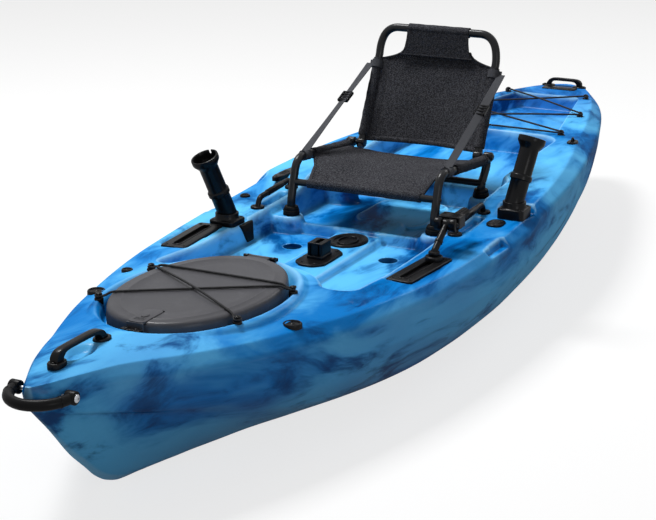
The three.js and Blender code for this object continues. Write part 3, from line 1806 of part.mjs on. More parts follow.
function buildSling() {
  const front = crossbarY();
  const grip = alongHull(slingSleeveShare);
  const rear = alongHull(slingRearShare);
  const spread = [
    [front, slingFrontHalfWidth],
    [front + (grip - front) / 2, slingFrontHalfWidth + (seatHalfWidth - slingFrontHalfWidth) / 4],
    [grip, seatHalfWidth],
    [rear, seatHalfWidth],
  ];
  const heights = [
    [front, frontCrossbarHeight],
    [front + (grip - front) / 2, (frontCrossbarHeight + railHeight(grip)) / 2 + slingSag / 3],
    [grip, railHeight(grip)],
    [rear, railHeight(rear)],
  ];
  const sheet = sheetSolid(
    (u, v) => {
      const y = front + (rear - front) * v;
      const sag = slingSag * (1 - u * u) * Math.sin(Math.PI * Math.min(1, Math.max(0, v)) ** (2 / 3));
      const rearSag = (slingSag / 2) * (1 - u * u) * v;
      return at(u * follow(spread, y), y, follow(heights, y) - sag - rearSag);
    },
    fabricThickness,
    panelColumns,
    panelRows,
  );
  const sleeves = [-1, 1].map((side) =>
    straightBar(
      at(side * seatHalfWidth, grip, railHeight(grip)),
      at(side * seatHalfWidth, rear, railHeight(rear)),
      sleeveRadius,
    ),
  );
  const roll = crossBar(slingFrontHalfWidth, crossbarRadius + sleeveGap + sleeveWall, front, frontCrossbarHeight);
  return cut(join(sheet, sleeves, roll), seatTubes(sleeveGap));
}

function buildBackPanel() {
  const sheet = sheetSolid(
    (u, v) => {
      const z = panelBottom + (hoopHeight - panelBottom) * v;
      const bow = panelBow * follow(panelBowShares, v) * (1 - u * u);
      return at(u * hoopHalfWidth * follow(panelWidthShares, v), hoopY(z) + bow, z);
    },
    fabricThickness,
    panelColumns,
    2 * panelRows,
  );
  const headHalf = hoopHalfWidth * follow(panelWidthShares, 1);
  const sleeves = [
    ...[-1, 1].map((side) =>
      straightBar(
        hoopPoint(side * hoopHalfWidth, panelBottom + panelSleeveInset),
        hoopPoint(side * hoopHalfWidth, hoopShoulderHeight - panelSleeveInset),
        sleeveRadius,
      ),
    ),
    crossBar(headHalf, sleeveRadius, hoopY(hoopHeight), hoopHeight),
  ];
  const slits = [-1, 1].map((side) =>
    strapLoop(strapEnds(side).top, hoopWay, strapTopInner, seatGap),
  );
  return cut(join(sheet, sleeves), rod(hoopPath(), seatTubeRadius + sleeveGap), slits);
}

// Straps between the hoop and the rails, with a loop round each tube.
function strapEnds(side) {
  const top = hoopPoint(side * hoopHalfWidth, hoopHeight - strapTopDrop);
  const footY = alongHull(strapFootShare);
  const foot = at(side * seatHalfWidth, footY, railHeight(footY));
  return { top, foot };
}

// The middles of the ribbon's two ends: on top of the loop round the rail, and beside the hoop.
function ribbonEnds(side) {
  const { top, foot } = strapEnds(side);
  const over = seatTubeRadius + sleeveGap + strapThickness / 2;
  return {
    low: foot.clone().add(railWay.clone().cross(at(-1, 0, 0)).setLength(over)),
    high: top.clone().setX(side * (hoopHalfWidth + strapTopOut)),
  };
}

function strapRibbon(side, grow) {
  const { low, high } = ribbonEnds(side);
  const way = at(0, high.y - low.y, high.z - low.z).normalize();
  const wide = at(strapWidth / 2 + grow, 0, 0);
  const thick = at(0, -way.z, way.y).multiplyScalar(strapThickness / 2 + grow);
  const ring = (middle) => [
    middle.clone().add(wide).add(thick),
    middle.clone().sub(wide).add(thick),
    middle.clone().sub(wide).sub(thick),
    middle.clone().add(wide).sub(thick),
  ];
  return loft([ring(low), ring(high)]);
}

// A loop of strap round a tube, and the clear way along the tube inside it.
function strapLoop(middle, along, inner, grow = 0) {
  const end = (reach) => middle.clone().add(along.clone().setLength(Math.abs(reach)).multiplyScalar(Math.sign(reach)));
  const half = strapWidth / 2 + grow;
  const outer = straightBar(end(-half), end(half), inner + strapThickness + grow, roundFacets);
  return cut(outer, strapBore(middle, along, inner - grow));
}

function strapBore(middle, along, inner) {
  const half = along.clone().setLength(strapWidth);
  return straightBar(middle.clone().sub(half), middle.clone().add(half), inner, roundFacets);
}

const hoopWay = at(0, hoopLeanShare, 1);
const railWay = at(0, heelY - kneeY, heelHeight - kneeHeight);
const strapTopInner = sleeveRadius + sleeveGap;
const strapFootInner = seatTubeRadius + sleeveGap;

function buildStrap(side) {
  const { top, foot } = strapEnds(side);
  return cut(
    join(
      strapRibbon(side, 0),
      strapLoop(top, hoopWay, strapTopInner),
      strapLoop(foot, railWay, strapFootInner),
    ),
    strapBore(top, hoopWay, strapTopInner),
    strapBore(foot, railWay, strapFootInner),
  );
}

function buildBuckle(side) {
  const { low, high } = ribbonEnds(side);
  const middle = low.clone().lerp(high, bucklePlaceShare);
  const body = stack(boxOutline(buckleHalfWidth, buckleHalfThickness, buckleHalfThickness / 2), [
    [-buckleLength / 2, 0],
    [buckleLength / 2, 0],
  ]);
  const tilt = (-Math.atan2(high.y - low.y, high.z - low.z) * 180) / Math.PI;
  return cut(moved(body.rotate([tilt, 0, 0]), middle), strapRibbon(side, sleeveGap));
}

kayak.name = "kayak";
place("hull", buildHull(), "hull");
place("hatch_lid", buildLid(), "lid");
place("hatch_gasket", buildGasket(), "rubber");
place("hatch_hinge", buildHatchHinge(), "fitting");
place("hatch_latch", buildLatch(), "lid");
place("latch_catch", buildLatchCatch(), "fitting");
place("hatch_hook_front_left", buildHook(hatchHooks.frontLeft), "fitting");
place("hatch_hook_front_right", buildHook(hatchHooks.frontRight), "fitting");
place("hatch_hook_rear_left", buildHook(hatchHooks.rearLeft), "fitting");
place("hatch_hook_rear_right", buildHook(hatchHooks.rearRight), "fitting");
place("hatch_cord", buildHatchCord(), "webbing");
place("bow_handle", buildBowHandle(), "fitting");
place("bow_grab_handle", buildGrabHandle(), "rubber");
place("bow_grab_bolt_left", buildGrabBolt(-1), "steel");
place("bow_grab_bolt_right", buildGrabBolt(1), "steel");
place("deck_plug_left", buildPlug(-plugOffset, alongHull(plugPlaceShare), plugRadius), "fitting");
place("deck_plug_right", buildPlug(plugOffset, alongHull(plugPlaceShare), plugRadius), "fitting");
smallPlugPlaceShares.forEach(([outShare, share], i) =>
  place(`small_plug_${["front", "rear"][i]}`, buildPlug(outShare * halfBeam, alongHull(share), smallPlugRadius), "fitting"),
);
place("track_left", buildTrack(-1), "fitting");
place("track_right", buildTrack(1), "fitting");
place("mount_carriage", buildCarriage(), "fitting");
place("mount_post", buildPost(), "fitting");
place("mount_head", buildMountHead(), "fitting");
place("mount_knob", buildKnob(), "rubber");
rodHolders.forEach((holder) => {
  place(`rod_holder_base_${holder.name}`, buildHolderSocket(holder), "fitting");
  place(`rod_holder_tube_${holder.name}`, buildHolderTube(holder), "fitting");
});
place("side_handle_left", buildSideHandle(-1), "fitting");
place("side_handle_right", buildSideHandle(1), "fitting");
place("deck_cover_left", buildCover(), "fitting");
place("rib_plate_right", buildRibPlate(), "fitting");
place("accessory_plate", buildAccessoryPlate(), "fitting");
place("console_bezel", buildBezel(), "fitting");
place("wall_pad_left", buildWallPad(), "rubber");
place("pad_eye_left", buildPadEye(-1), "fitting");
place("pad_eye_right", buildPadEye(1), "fitting");
sternHooks.forEach((row, i) =>
  row.forEach((hook, k) =>
    place(`stern_hook_${["left", "right"][i]}_${["front", "middle", "rear"][k]}`, buildHook(hook), "fitting"),
  ),
);
place("stern_bungee", buildSternBungee(), "webbing");
place("stern_handle", buildSternHandle(), "fitting");
place("stern_plate", buildSternPlate(), "fitting");
[-1, 1].forEach((side) => {
  const hand = side < 0 ? "left" : "right";
  place(`seat_cup_front_${hand}`, buildFootCup(side, frontFootY, footBossHeight), "rubber");
  place(`seat_cup_rear_${hand}`, buildFootCup(side, rearFootY, rearBossHeight), "rubber");
  place(`strap_${hand}`, buildStrap(side), "webbing");
  place(`strap_buckle_${hand}`, buildBuckle(side), "fitting");
});
place("seat_frame", buildSeatFrame(), "tube");
place("seat_sling", buildSling(), "fabric");
place("back_hoop", buildHoop(), "tube");
place("back_panel", buildBackPanel(), "fabric");

export default kayak;
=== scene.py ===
"""Sit-on-top fishing kayak: its surfaces, fabrics and finishes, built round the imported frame.

Every shape is worked out in millimetres as whole numpy arrays and put into its mesh in metres. The bow
points along -Y, +X is the side with the track mount and +Z is up, as in the frame.
"""

import json
import logging
import math
from dataclasses import dataclass, field, replace
from enum import Enum
from typing import Callable, Iterable, Sequence

import bmesh
import bpy
import numpy as np
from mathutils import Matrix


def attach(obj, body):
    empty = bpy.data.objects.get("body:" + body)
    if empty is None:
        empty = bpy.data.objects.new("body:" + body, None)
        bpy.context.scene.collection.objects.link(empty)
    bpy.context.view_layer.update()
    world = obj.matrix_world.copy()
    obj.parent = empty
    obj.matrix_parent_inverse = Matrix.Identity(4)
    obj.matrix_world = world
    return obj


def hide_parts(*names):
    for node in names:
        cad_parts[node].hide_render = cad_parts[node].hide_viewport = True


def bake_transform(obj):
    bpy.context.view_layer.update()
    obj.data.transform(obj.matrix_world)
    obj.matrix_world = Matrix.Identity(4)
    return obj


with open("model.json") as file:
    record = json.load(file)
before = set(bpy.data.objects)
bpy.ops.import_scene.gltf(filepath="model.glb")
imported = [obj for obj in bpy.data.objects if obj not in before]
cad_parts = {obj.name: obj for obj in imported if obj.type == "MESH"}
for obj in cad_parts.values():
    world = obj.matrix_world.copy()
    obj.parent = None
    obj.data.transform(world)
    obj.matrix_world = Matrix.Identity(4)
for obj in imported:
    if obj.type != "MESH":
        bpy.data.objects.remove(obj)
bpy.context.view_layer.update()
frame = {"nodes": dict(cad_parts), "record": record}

log = logging.getLogger("kayak")
Array = np.ndarray
Outline = Callable[[float], Array]
MILLIMETRE = 0.001
HANDS = ((-1, "left"), (1, "right"))
WHITE = (1.0, 1.0, 1.0, 1.0)


# ---- Numbers and tables ----
def follow(table: Sequence[Sequence[float]], place: Array) -> Array:
    """Reads a table on a smooth curve that never overshoots.

    Each span is a cubic whose end slopes are the harmonic means of the slopes beside them.

    Args:
        table: Pairs of place and value, in rising order of place.
        place: Where the curve is read.

    Returns:
        The value at each place.
    """
    at, value = np.asarray(table, float).T
    slope = np.diff(value) / np.diff(at)
    before, after = slope[:-1], slope[1:]
    both = before * after
    total = np.where(both > 0, before + after, 1.0)
    middle = np.where(both > 0, 2 * both / total, 0.0)
    tangent = np.concatenate((slope[:1], middle, slope[-1:]))
    i = np.clip(np.searchsorted(at, place) - 1, 0, len(slope) - 1)
    span = at[i + 1] - at[i]
    t = np.clip((place - at[i]) / span, 0, 1)
    rise = t * t * (3 - 2 * t)
    lead = t * (1 - t) ** 2 * span * tangent[i]
    trail = t * t * (t - 1) * span * tangent[i + 1]
    return (1 - rise) * value[i] + rise * value[i + 1] + lead + trail


def unit(vectors: Array) -> Array:
    """Vectors scaled to a length of one."""
    return vectors / np.maximum(np.linalg.norm(vectors, axis=-1, keepdims=True), 1e-9)


def point(x: Array | float, y: Array | float, z: Array | float) -> Array:
    """A place or a direction as an array, or rows of them where a coordinate is an array."""
    return np.stack(np.broadcast_arrays(x, y, z), -1).astype(float)


ACROSS, ALONG, UP = np.eye(3)


# ---- Shapes ----
@dataclass
class Form:
    """Points and faces of a shape, in millimetres.

    Attributes:
        points: Corner places, one row each.
        loops: The corners of all faces, one after another.
        sizes: How many corners each face has.
        finish: The index of each face's finish.
        across: Surface places of the loops, for patterns that follow the surface.
    """

    points: Array
    loops: Array
    sizes: Array
    finish: Array
    across: Array

    def moved(self, move: Array) -> "Form":
        """The shape moved."""
        return replace(self, points=self.points + move)

    def placed(self, turn: Array, move: Array) -> "Form":
        """The shape turned by a matrix and then moved."""
        return replace(self, points=self.points @ turn.T + move)

    def dressed(self, finish: int) -> "Form":
        """The shape with every face in one finish."""
        return replace(self, finish=np.full(len(self.sizes), finish))


SECOND, THIRD = 1, 2


def join(forms: Iterable[Form]) -> Form:
    """Several shapes as one."""
    forms = list(forms)
    starts = np.cumsum([0, *(len(form.points) for form in forms)])
    loops = np.concatenate([form.loops + start for form, start in zip(forms, starts)])
    names = ("points", "sizes", "finish", "across")
    rest = {name: np.concatenate([getattr(form, name) for form in forms]) for name in names}
    return Form(loops=loops, **rest)


def sheet_of(points: Array, ring: bool = False, loop: bool = False, caps: bool = False) -> Form:
    """Faces over a grid of points.

    Args:
        points: Rows and columns of places.
        ring: Whether the last column joins the first.
        loop: Whether the last row joins the first.
        caps: Whether the first and last rows are closed with flat faces.

    Returns:
        The surface. Its pattern places are the lengths along a row and down a column.
    """
    rows, columns = points.shape[:2]
    index = np.arange(rows * columns).reshape(rows, columns)
    r = rows if loop else rows - 1
    c = columns if ring else columns - 1
    right = np.roll(index, -1, 1)
    below = np.roll(index, -1, 0)
    both = np.roll(below, -1, 1)
    quads = np.stack((index, right, both, below), -1)[:r, :c].reshape(-1, 4)
    step = np.linalg.norm(np.diff(points, axis=1, append=points[:, :1]), axis=-1)
    run = np.linalg.norm(np.diff(points, axis=0, append=points[:1]), axis=-1)
    u = np.concatenate((np.zeros((rows, 1)), np.cumsum(step, 1)), 1)
    v = np.concatenate((np.zeros((1, columns)), np.cumsum(run, 0)), 0)
    v = np.concatenate((v, v[:, :1]), 1)
    u = np.concatenate((u, u[:1]), 0)
    corner = [(0, 0), (0, 1), (1, 1), (1, 0)]
    across = np.stack([np.stack((u[a : a + r, b : b + c], v[a : a + r, b : b + c]), -1) for a, b in corner], 2)
    loops = quads.reshape(-1)
    sizes = np.full(len(quads), 4)
    across = across.reshape(-1, 2) * MILLIMETRE
    if caps:
        loops = np.concatenate((loops, index[0][::-1], index[-1]))
        sizes = np.concatenate((sizes, (columns, columns)))
        across = np.concatenate((across, np.zeros((2 * columns, 2))))
    return Form(points.reshape(-1, 3), loops, sizes, np.zeros(len(sizes), int), across)


def oval(half_width: float, half_length: float, power: float = 2.0, count: int = 72) -> Outline:
    """An outline whose coordinates are powers of the cosine and sine of an angle."""

    def outline(grow: float) -> Array:
        angle = np.arange(count) / count * 2 * math.pi
        c, s = np.cos(angle), np.sin(angle)
        bend = 2 / power
        x = np.sign(c) * np.abs(c) ** bend * (half_width + grow)
        y = np.sign(s) * np.abs(s) ** bend * (half_length + grow)
        return np.stack((x, y), 1)

    return outline


def rounding(before: Array, corner: Array, after: Array, reach: Array | float, share: float, steps: int) -> Array:
    """Corners rounded by arcs of parabolas.

    Args:
        before: The corner before each corner.
        corner: The corners.
        after: The corner after each corner.
        reach: How far from its corner each arc starts and ends.
        share: The most that the reach may be, as a share of a side.
        steps: The number of points of an arc.

    Returns:
        For each corner the points of its arc.
    """
    back, ahead = before - corner, after - corner
    start = corner + unit(back) * np.minimum(reach, share * np.linalg.norm(back, axis=-1, keepdims=True))
    end = corner + unit(ahead) * np.minimum(reach, share * np.linalg.norm(ahead, axis=-1, keepdims=True))
    t = np.linspace(0, 1, steps)[:, None]
    start, corner, end = start[..., None, :], corner[..., None, :], end[..., None, :]
    return start * (1 - t) ** 2 + corner * 2 * t * (1 - t) + end * t * t


def softened(ring: Sequence[Sequence[float]], reach: float, steps: int, share: float = 1 / 3) -> Array:
    """A closed outline with round corners."""
    corner = np.asarray(ring, float)
    arcs = rounding(np.roll(corner, 1, 0), corner, np.roll(corner, -1, 0), reach, share, steps)
    return arcs.reshape(-1, corner.shape[1])


def bent(points: Sequence[Array], reaches: Sequence[float], steps: int = 9) -> Array:
    """A path of straight runs whose corners are arcs with the given reaches."""
    corner = np.asarray(points, float)
    arcs = rounding(corner[:-2], corner[1:-1], corner[2:], np.asarray(reaches, float)[:, None], 1, steps)
    return np.concatenate((corner[:1], arcs.reshape(-1, 3), corner[-1:]))


def cornered(corners: Sequence[Sequence[float]], radius: float, steps: int = 7) -> Outline:
    """An outline of straight runs with round corners, grown by moving each corner outwards."""

    def outline(grow: float) -> Array:
        flat = np.asarray(corners, float)
        return softened(flat + np.sign(flat - flat.mean(0)) * grow, radius, steps, 1)

    return outline


def box(half_width: float, half_length: float, radius: float) -> Outline:
    """A rectangle with round corners."""
    w, l = half_width, half_length
    return cornered([(-w, -l), (w, -l), (w, l), (-w, l)], radius)


def rounded(low: float, high: float, edge: float) -> list[tuple[float, float]]:
    """Heights and growths of a plate whose upper edge is a quarter circle."""
    angle = np.linspace(0, math.pi / 2, 5)
    arc = [(high - edge + edge * math.sin(a), -edge + edge * math.cos(a)) for a in angle]
    return [(low, 0.0), *arc]


def rings(outline: Outline, levels: Sequence[Sequence[float]], turn: float = 0.0) -> Array:
    """An outline at each pair of height and growth, turned about the vertical by some radians."""
    c, s = math.cos(turn), math.sin(turn)
    return np.array([point(*(outline(grow) @ np.array(((c, s), (-s, c)))).T, height) for height, grow in levels])


def stack(outline: Outline, levels: Sequence[Sequence[float]], turn: float = 0.0) -> Form:
    """A closed shape with flat ends: one outline at pairs of height and growth, from one end to the other."""
    return sheet_of(rings(outline, levels, turn), ring=True, caps=True)


def turned(profile: Sequence[Sequence[float]], sides: int = 48) -> Form:
    """A shape of revolution: each pair of radius and height is carried round the vertical."""
    radius, height = np.asarray(profile, float)[:, :, None].transpose(1, 0, 2)
    angle = np.arange(sides) / sides * 2 * math.pi
    return sheet_of(point(radius * np.cos(angle), radius * np.sin(angle), height), ring=True)


def curve_through(points: Sequence[Array], steps: int = 6) -> Array:
    """A smooth curve through points: each span is a cubic whose end slopes are half the step between neighbours."""
    p = np.asarray(points, float)
    slope = np.gradient(p, axis=0)
    t = np.linspace(0, 1, steps, endpoint=False)[None, :, None]
    a, b, m, n = p[:-1, None], p[1:, None], slope[:-1, None], slope[1:, None]
    rise = t * t * (3 - 2 * t)
    curve = a * (1 - rise) + b * rise + m * t * (1 - t) ** 2 + n * t * t * (t - 1)
    return np.concatenate((curve.reshape(-1, 3), p[-1:]))


def circles(way: Array, up: Array, sides: int, start: float = 0.0) -> Array:
    """Unit circles square to directions, whose first axis is the direction crossed with up."""
    side = unit(np.cross(way, up))
    angle = (np.arange(sides) + start) / sides * 2 * math.pi
    c, s = np.cos(angle)[None, :, None], np.sin(angle)[None, :, None]
    return c * side[:, None] + s * np.cross(side, way)[:, None]


def tube(path: Array, radius: float | Array, up: Array, sides: int = 20, round_ends: float = 0.0) -> Form:
    """A round bar: a circle carried along a path, square to it.

    Args:
        path: The points of its middle.
        radius: Its radius, or one radius for each point.
        up: A direction that the path never follows.
        sides: The number of its sides.
        round_ends: How far each end is rounded, as a share of the radius.

    Returns:
        The closed bar.
    """
    size = np.broadcast_to(np.asarray(radius, float), (len(path),))
    way = unit(np.gradient(path, axis=0))
    if round_ends:
        angle = np.linspace(math.pi / 2, 0, 5)[:-1]
        out, draw = np.sin(angle), np.maximum(np.cos(angle), 0.02)
        first = path[0] - way[0] * (size[0] * round_ends * out)[:, None]
        last = path[-1] + way[-1] * (size[-1] * round_ends * out[::-1])[:, None]
        path = np.concatenate((first, path, last))
        size = np.concatenate((size[0] * draw, size, size[-1] * draw[::-1]))
        way = np.concatenate((np.repeat(way[:1], 4, 0), way, np.repeat(way[-1:], 4, 0)))
    ring = circles(way, up, sides, 0.5)
    return sheet_of(path[:, None] + ring * size[:, None, None], ring=True, caps=True)


def hollow_tube(path: Sequence[Array], outer: float | Array, inner: float, up: Array) -> Form:
    """A sleeve: an outer and an inner circle carried along a path, joined at both ends."""
    path = np.asarray(path, float)
    size = np.broadcast_to(np.asarray(outer, float), (len(path),))
    ring = circles(unit(np.gradient(path, axis=0)), up, 32)
    out, back = path[:, None] + ring * size[:, None, None], (path[:, None] + ring * inner)[::-1]
    return sheet_of(np.concatenate((out, back)), ring=True, loop=True)


def ribbon(path: Array, wide: Array, half_width: float, half_thickness: float, edge: float = 0.6) -> Form:
    """A flat band: a rounded rectangle carried along a path, its width along a given direction.

    Args:
        path: The points of its middle.
        wide: The direction of its width, one for all points or one each.
        half_width: Half of its width.
        half_thickness: Half of its thickness.
        edge: How far its corners are cut.

    Returns:
        The closed band.
    """
    path = np.asarray(path, float)
    way = unit(np.gradient(path, axis=0))
    wide = np.broadcast_to(unit(np.asarray(wide, float)), path.shape)
    thick = unit(np.cross(way, wide))
    w, t, c = half_width, half_thickness, edge
    flat = np.array([
        (-w, -t + c), (-w + c, -t), (w - c, -t), (w, -t + c), (w, t - c), (w - c, t), (-w + c, t), (-w, t - c),
    ])
    ring = flat[None, :, :1] * wide[:, None] + flat[None, :, 1:] * thick[:, None]
    return sheet_of(path[:, None] + ring, ring=True, caps=True)


def shrunk(ring: Array, inset: float) -> Array:
    """A closed outline moved inwards, each point along the normal of its neighbours' line."""
    way = unit(np.roll(ring, -1, 0) - np.roll(ring, 1, 0))
    normal = np.column_stack((-way[:, 1], way[:, 0]))
    area = np.sum(ring[:, 0] * np.roll(ring[:, 1], -1) - np.roll(ring[:, 0], -1) * ring[:, 1])
    return ring + normal * inset * (1 if area > 0 else -1)


def slab(profile: Array, levels: Iterable[Sequence[float]]) -> Form:
    """A plate standing along the hull, drawn by its side profile of pairs of y and z.

    Args:
        profile: The closed side profile.
        levels: Pairs of x and of how far the profile is drawn in there.

    Returns:
        The closed plate.
    """
    rows = [point(x, *shrunk(profile, inset).T) for x, inset in levels]
    return sheet_of(np.array(rows), ring=True, caps=True)


def padded_sheet(middle: Callable[[Array, Array], Array], thickness: float, columns: int, rows: int) -> Form:
    """A closed sheet round a middle surface, half its thickness to each side along the surface's normal.

    Args:
        middle: The place for u from -1 to 1 across and v from 0 to 1 along.
        thickness: The sheet's thickness.
        columns: Steps across.
        rows: Steps along.

    Returns:
        The closed sheet.
    """
    u, v = np.meshgrid(np.linspace(-1, 1, columns + 1), np.linspace(0, 1, rows + 1))
    step = 0.25 / columns
    normal = unit(np.cross(middle(u + step, v) - middle(u - step, v), middle(u, v + step) - middle(u, v - step)))
    half = normal * thickness / 2
    place = middle(u, v)
    ring = np.concatenate((place + half, (place - half)[:, ::-1]), 1)
    return sheet_of(ring, ring=True, caps=True)


def banded(sheet: Form, columns: int, limit: float, start: float = 0.0) -> Form:
    """A padded sheet whose side bands have the second finish.

    Args:
        sheet: The sheet.
        columns: Its steps across.
        limit: Where the bands start, from 0 at the middle to 1 at the edges.
        start: The share of the sheet's length from which there are bands.

    Returns:
        The sheet with its finishes.
    """
    out = np.abs(np.linspace(-1, 1, columns + 1))
    out = np.concatenate((out, out[::-1]))
    rows = (len(sheet.sizes) - 2) // len(out)
    along = np.linspace(0, 1, rows)[:, None]
    band = ((out + np.roll(out, -1)) / 2 > limit) & (along >= start)
    finish = np.concatenate((band.reshape(-1).astype(int), (0, 0)))
    return Form(sheet.points, sheet.loops, sheet.sizes, finish, sheet.across)


def piping(
    middle: Callable,
    u: Array | float,
    v: Array | float,
    radius: float,
    up: Array,
    lift: Sequence[float] = (0, 0, 0),
    sides: int = 12,
) -> Form:
    """A thin cord or a row of stitches along a line of a middle surface, in the third finish.

    Args:
        middle: The middle surface.
        u: The line's places across, or one place.
        v: The line's places along, or one place.
        radius: The cord's radius.
        up: A direction that the line never follows.
        lift: How far the cord lies off the surface.
        sides: The number of its sides.

    Returns:
        The cord.
    """
    return tube(middle(*np.broadcast_arrays(u, v)) + lift, radius, up, sides).dressed(THIRD)


# ---- Shader building ----
class Value:
    """A number or colour that varies over a surface: an output socket with arithmetic."""

    def __init__(self, nodes: "Nodes", socket: bpy.types.NodeSocket) -> None:
        """Keeps the socket and the nodes it belongs to."""
        self.nodes = nodes
        self.socket = socket

    def _math(self, operation: str, *numbers: "Value | float") -> "Value":
        """One Math node."""
        return self.nodes.node("ShaderNodeMath", {"operation": operation}, dict(enumerate(numbers)))

    def __add__(self, other: "Value | float") -> "Value":
        """The sum."""
        return self._math("ADD", self, other)

    __radd__ = __add__

    def __sub__(self, other: "Value | float") -> "Value":
        """The difference."""
        return self._math("SUBTRACT", self, other)

    def __rsub__(self, other: float) -> "Value":
        """The difference, taken from a number."""
        return self._math("SUBTRACT", other, self)

    def __mul__(self, other: "Value | float") -> "Value":
        """The product."""
        return self._math("MULTIPLY", self, other)

    __rmul__ = __mul__

    def sine(self) -> "Value":
        """The sine."""
        return self._math("SINE", self)

    def larger(self, other: "Value") -> "Value":
        """The larger of two values."""
        return self._math("MAXIMUM", self, other)

    def between(self, low: float, high: float) -> "Value":
        """Rises smoothly from 0 at low to 1 at high."""
        settings = {"interpolation_type": "SMOOTHSTEP"}
        return self.nodes.node("ShaderNodeMapRange", settings, {"Value": self, 1: low, 2: high})


class Nodes:
    """The nodes of a material or a world."""

    def __init__(self, tree: bpy.types.NodeTree) -> None:
        """Keeps the tree."""
        self.tree = tree

    def found(self, kind: str) -> bpy.types.Node:
        """The node of a type that the tree starts with."""
        return next(node for node in self.tree.nodes if node.type == kind)

    def node(self, kind: str, settings: dict | None = None, inputs: dict | None = None, output: int | str = 0) -> Value:
        """Adds a node.

        Args:
            kind: The node's type.
            settings: Its own settings, set first. The stops of a ramp are pairs of place and colour.
            inputs: Values or links of its sockets, by name or number.
            output: The output that is returned.

        Returns:
            The output as a value.
        """
        made = self.tree.nodes.new(kind)
        for key, value in (settings or {}).items():
            setattr(made, key, value)
        for key, value in (inputs or {}).items():
            self.feed(made.inputs[key], value)
        return Value(self, made.outputs[output])

    def feed(self, socket: bpy.types.NodeSocket, value: Value | float | tuple) -> None:
        """Links or sets a socket."""
        if isinstance(value, Value):
            self.tree.links.new(value.socket, socket)
        else:
            socket.default_value = value


class Shader(Nodes):
    """One material and the nodes that feed its Principled shader."""

    def __init__(self, name: str) -> None:
        """Starts a material with its Principled shader."""
        self.material = bpy.data.materials.new(name)
        self.material.use_nodes = True
        super().__init__(self.material.node_tree)
        self.surface = self.found("BSDF_PRINCIPLED")

    def places(self, scale: tuple[float, float, float] = (1.0, 1.0, 1.0), across: bool = False) -> Value:
        """Object coordinates, or the surface's own, scaled along each axis."""
        source = self.node("ShaderNodeTexCoord", output="UV" if across else "Object")
        return self.node("ShaderNodeMapping", None, {"Vector": source, "Scale": scale})

    def axes(self, rate: float = 1.0) -> tuple[Value, ...]:
        """The surface's own places across and along it, as two scaled numbers."""
        whole = self.places((rate, rate, rate), True)
        return tuple(self.node("ShaderNodeSeparateXYZ", None, {0: whole}, k) for k in (0, 1))

    def noise(self, where: Value, scale: float, detail: float = 2.0, roughness: float = 0.5) -> Value:
        """Smooth random values round one half."""
        inputs = {"Vector": where, "Scale": scale, "Detail": detail, "Roughness": roughness}
        return self.node("ShaderNodeTexNoise", None, inputs)

    def mix(self, share: Value | float, first: Value | tuple, second: Value | tuple) -> Value:
        """A colour between two colours."""
        inputs = {0: share, 6: first, 7: second}
        return self.node("ShaderNodeMix", {"data_type": "RGBA"}, inputs, 2)

    def bump(self, height: Value, distance: float) -> None:
        """Feeds a height in metres to the Normal."""
        inputs = {"Height": height, "Distance": distance, "Strength": 1.0}
        self.set(Normal=self.node("ShaderNodeBump", None, inputs))

    def set(self, **sockets: Value | float | tuple) -> None:
        """Sets or links sockets of the Principled shader, with _ for a space in a name."""
        for name, value in sockets.items():
            self.feed(self.surface.inputs[name.replace("_", " ")], value)


def rgb(red: float, green: float, blue: float) -> tuple[float, float, float, float]:
    """A colour given in the light scale of 0 to 255 that screens use, as linear values."""
    shares = np.array((red, green, blue)) / 255
    linear = np.where(shares <= 0.04045, shares / 12.92, ((shares + 0.055) / 1.055) ** 2.4)
    return (*linear.tolist(), 1.0)


# ---- Finishes ----
class Look(Enum):
    """The kayak's finishes."""

    HULL = "hull"
    LID = "lid"
    FITTING = "fitting"
    RUBBER = "rubber"
    TUBE = "tube"
    CLOTH = "fabric"
    SLEEVE = "fabric_sleeve"
    BINDING = "fabric_binding"
    WEBBING = "webbing"
    CORD = "cord"
    STEEL = "steel"


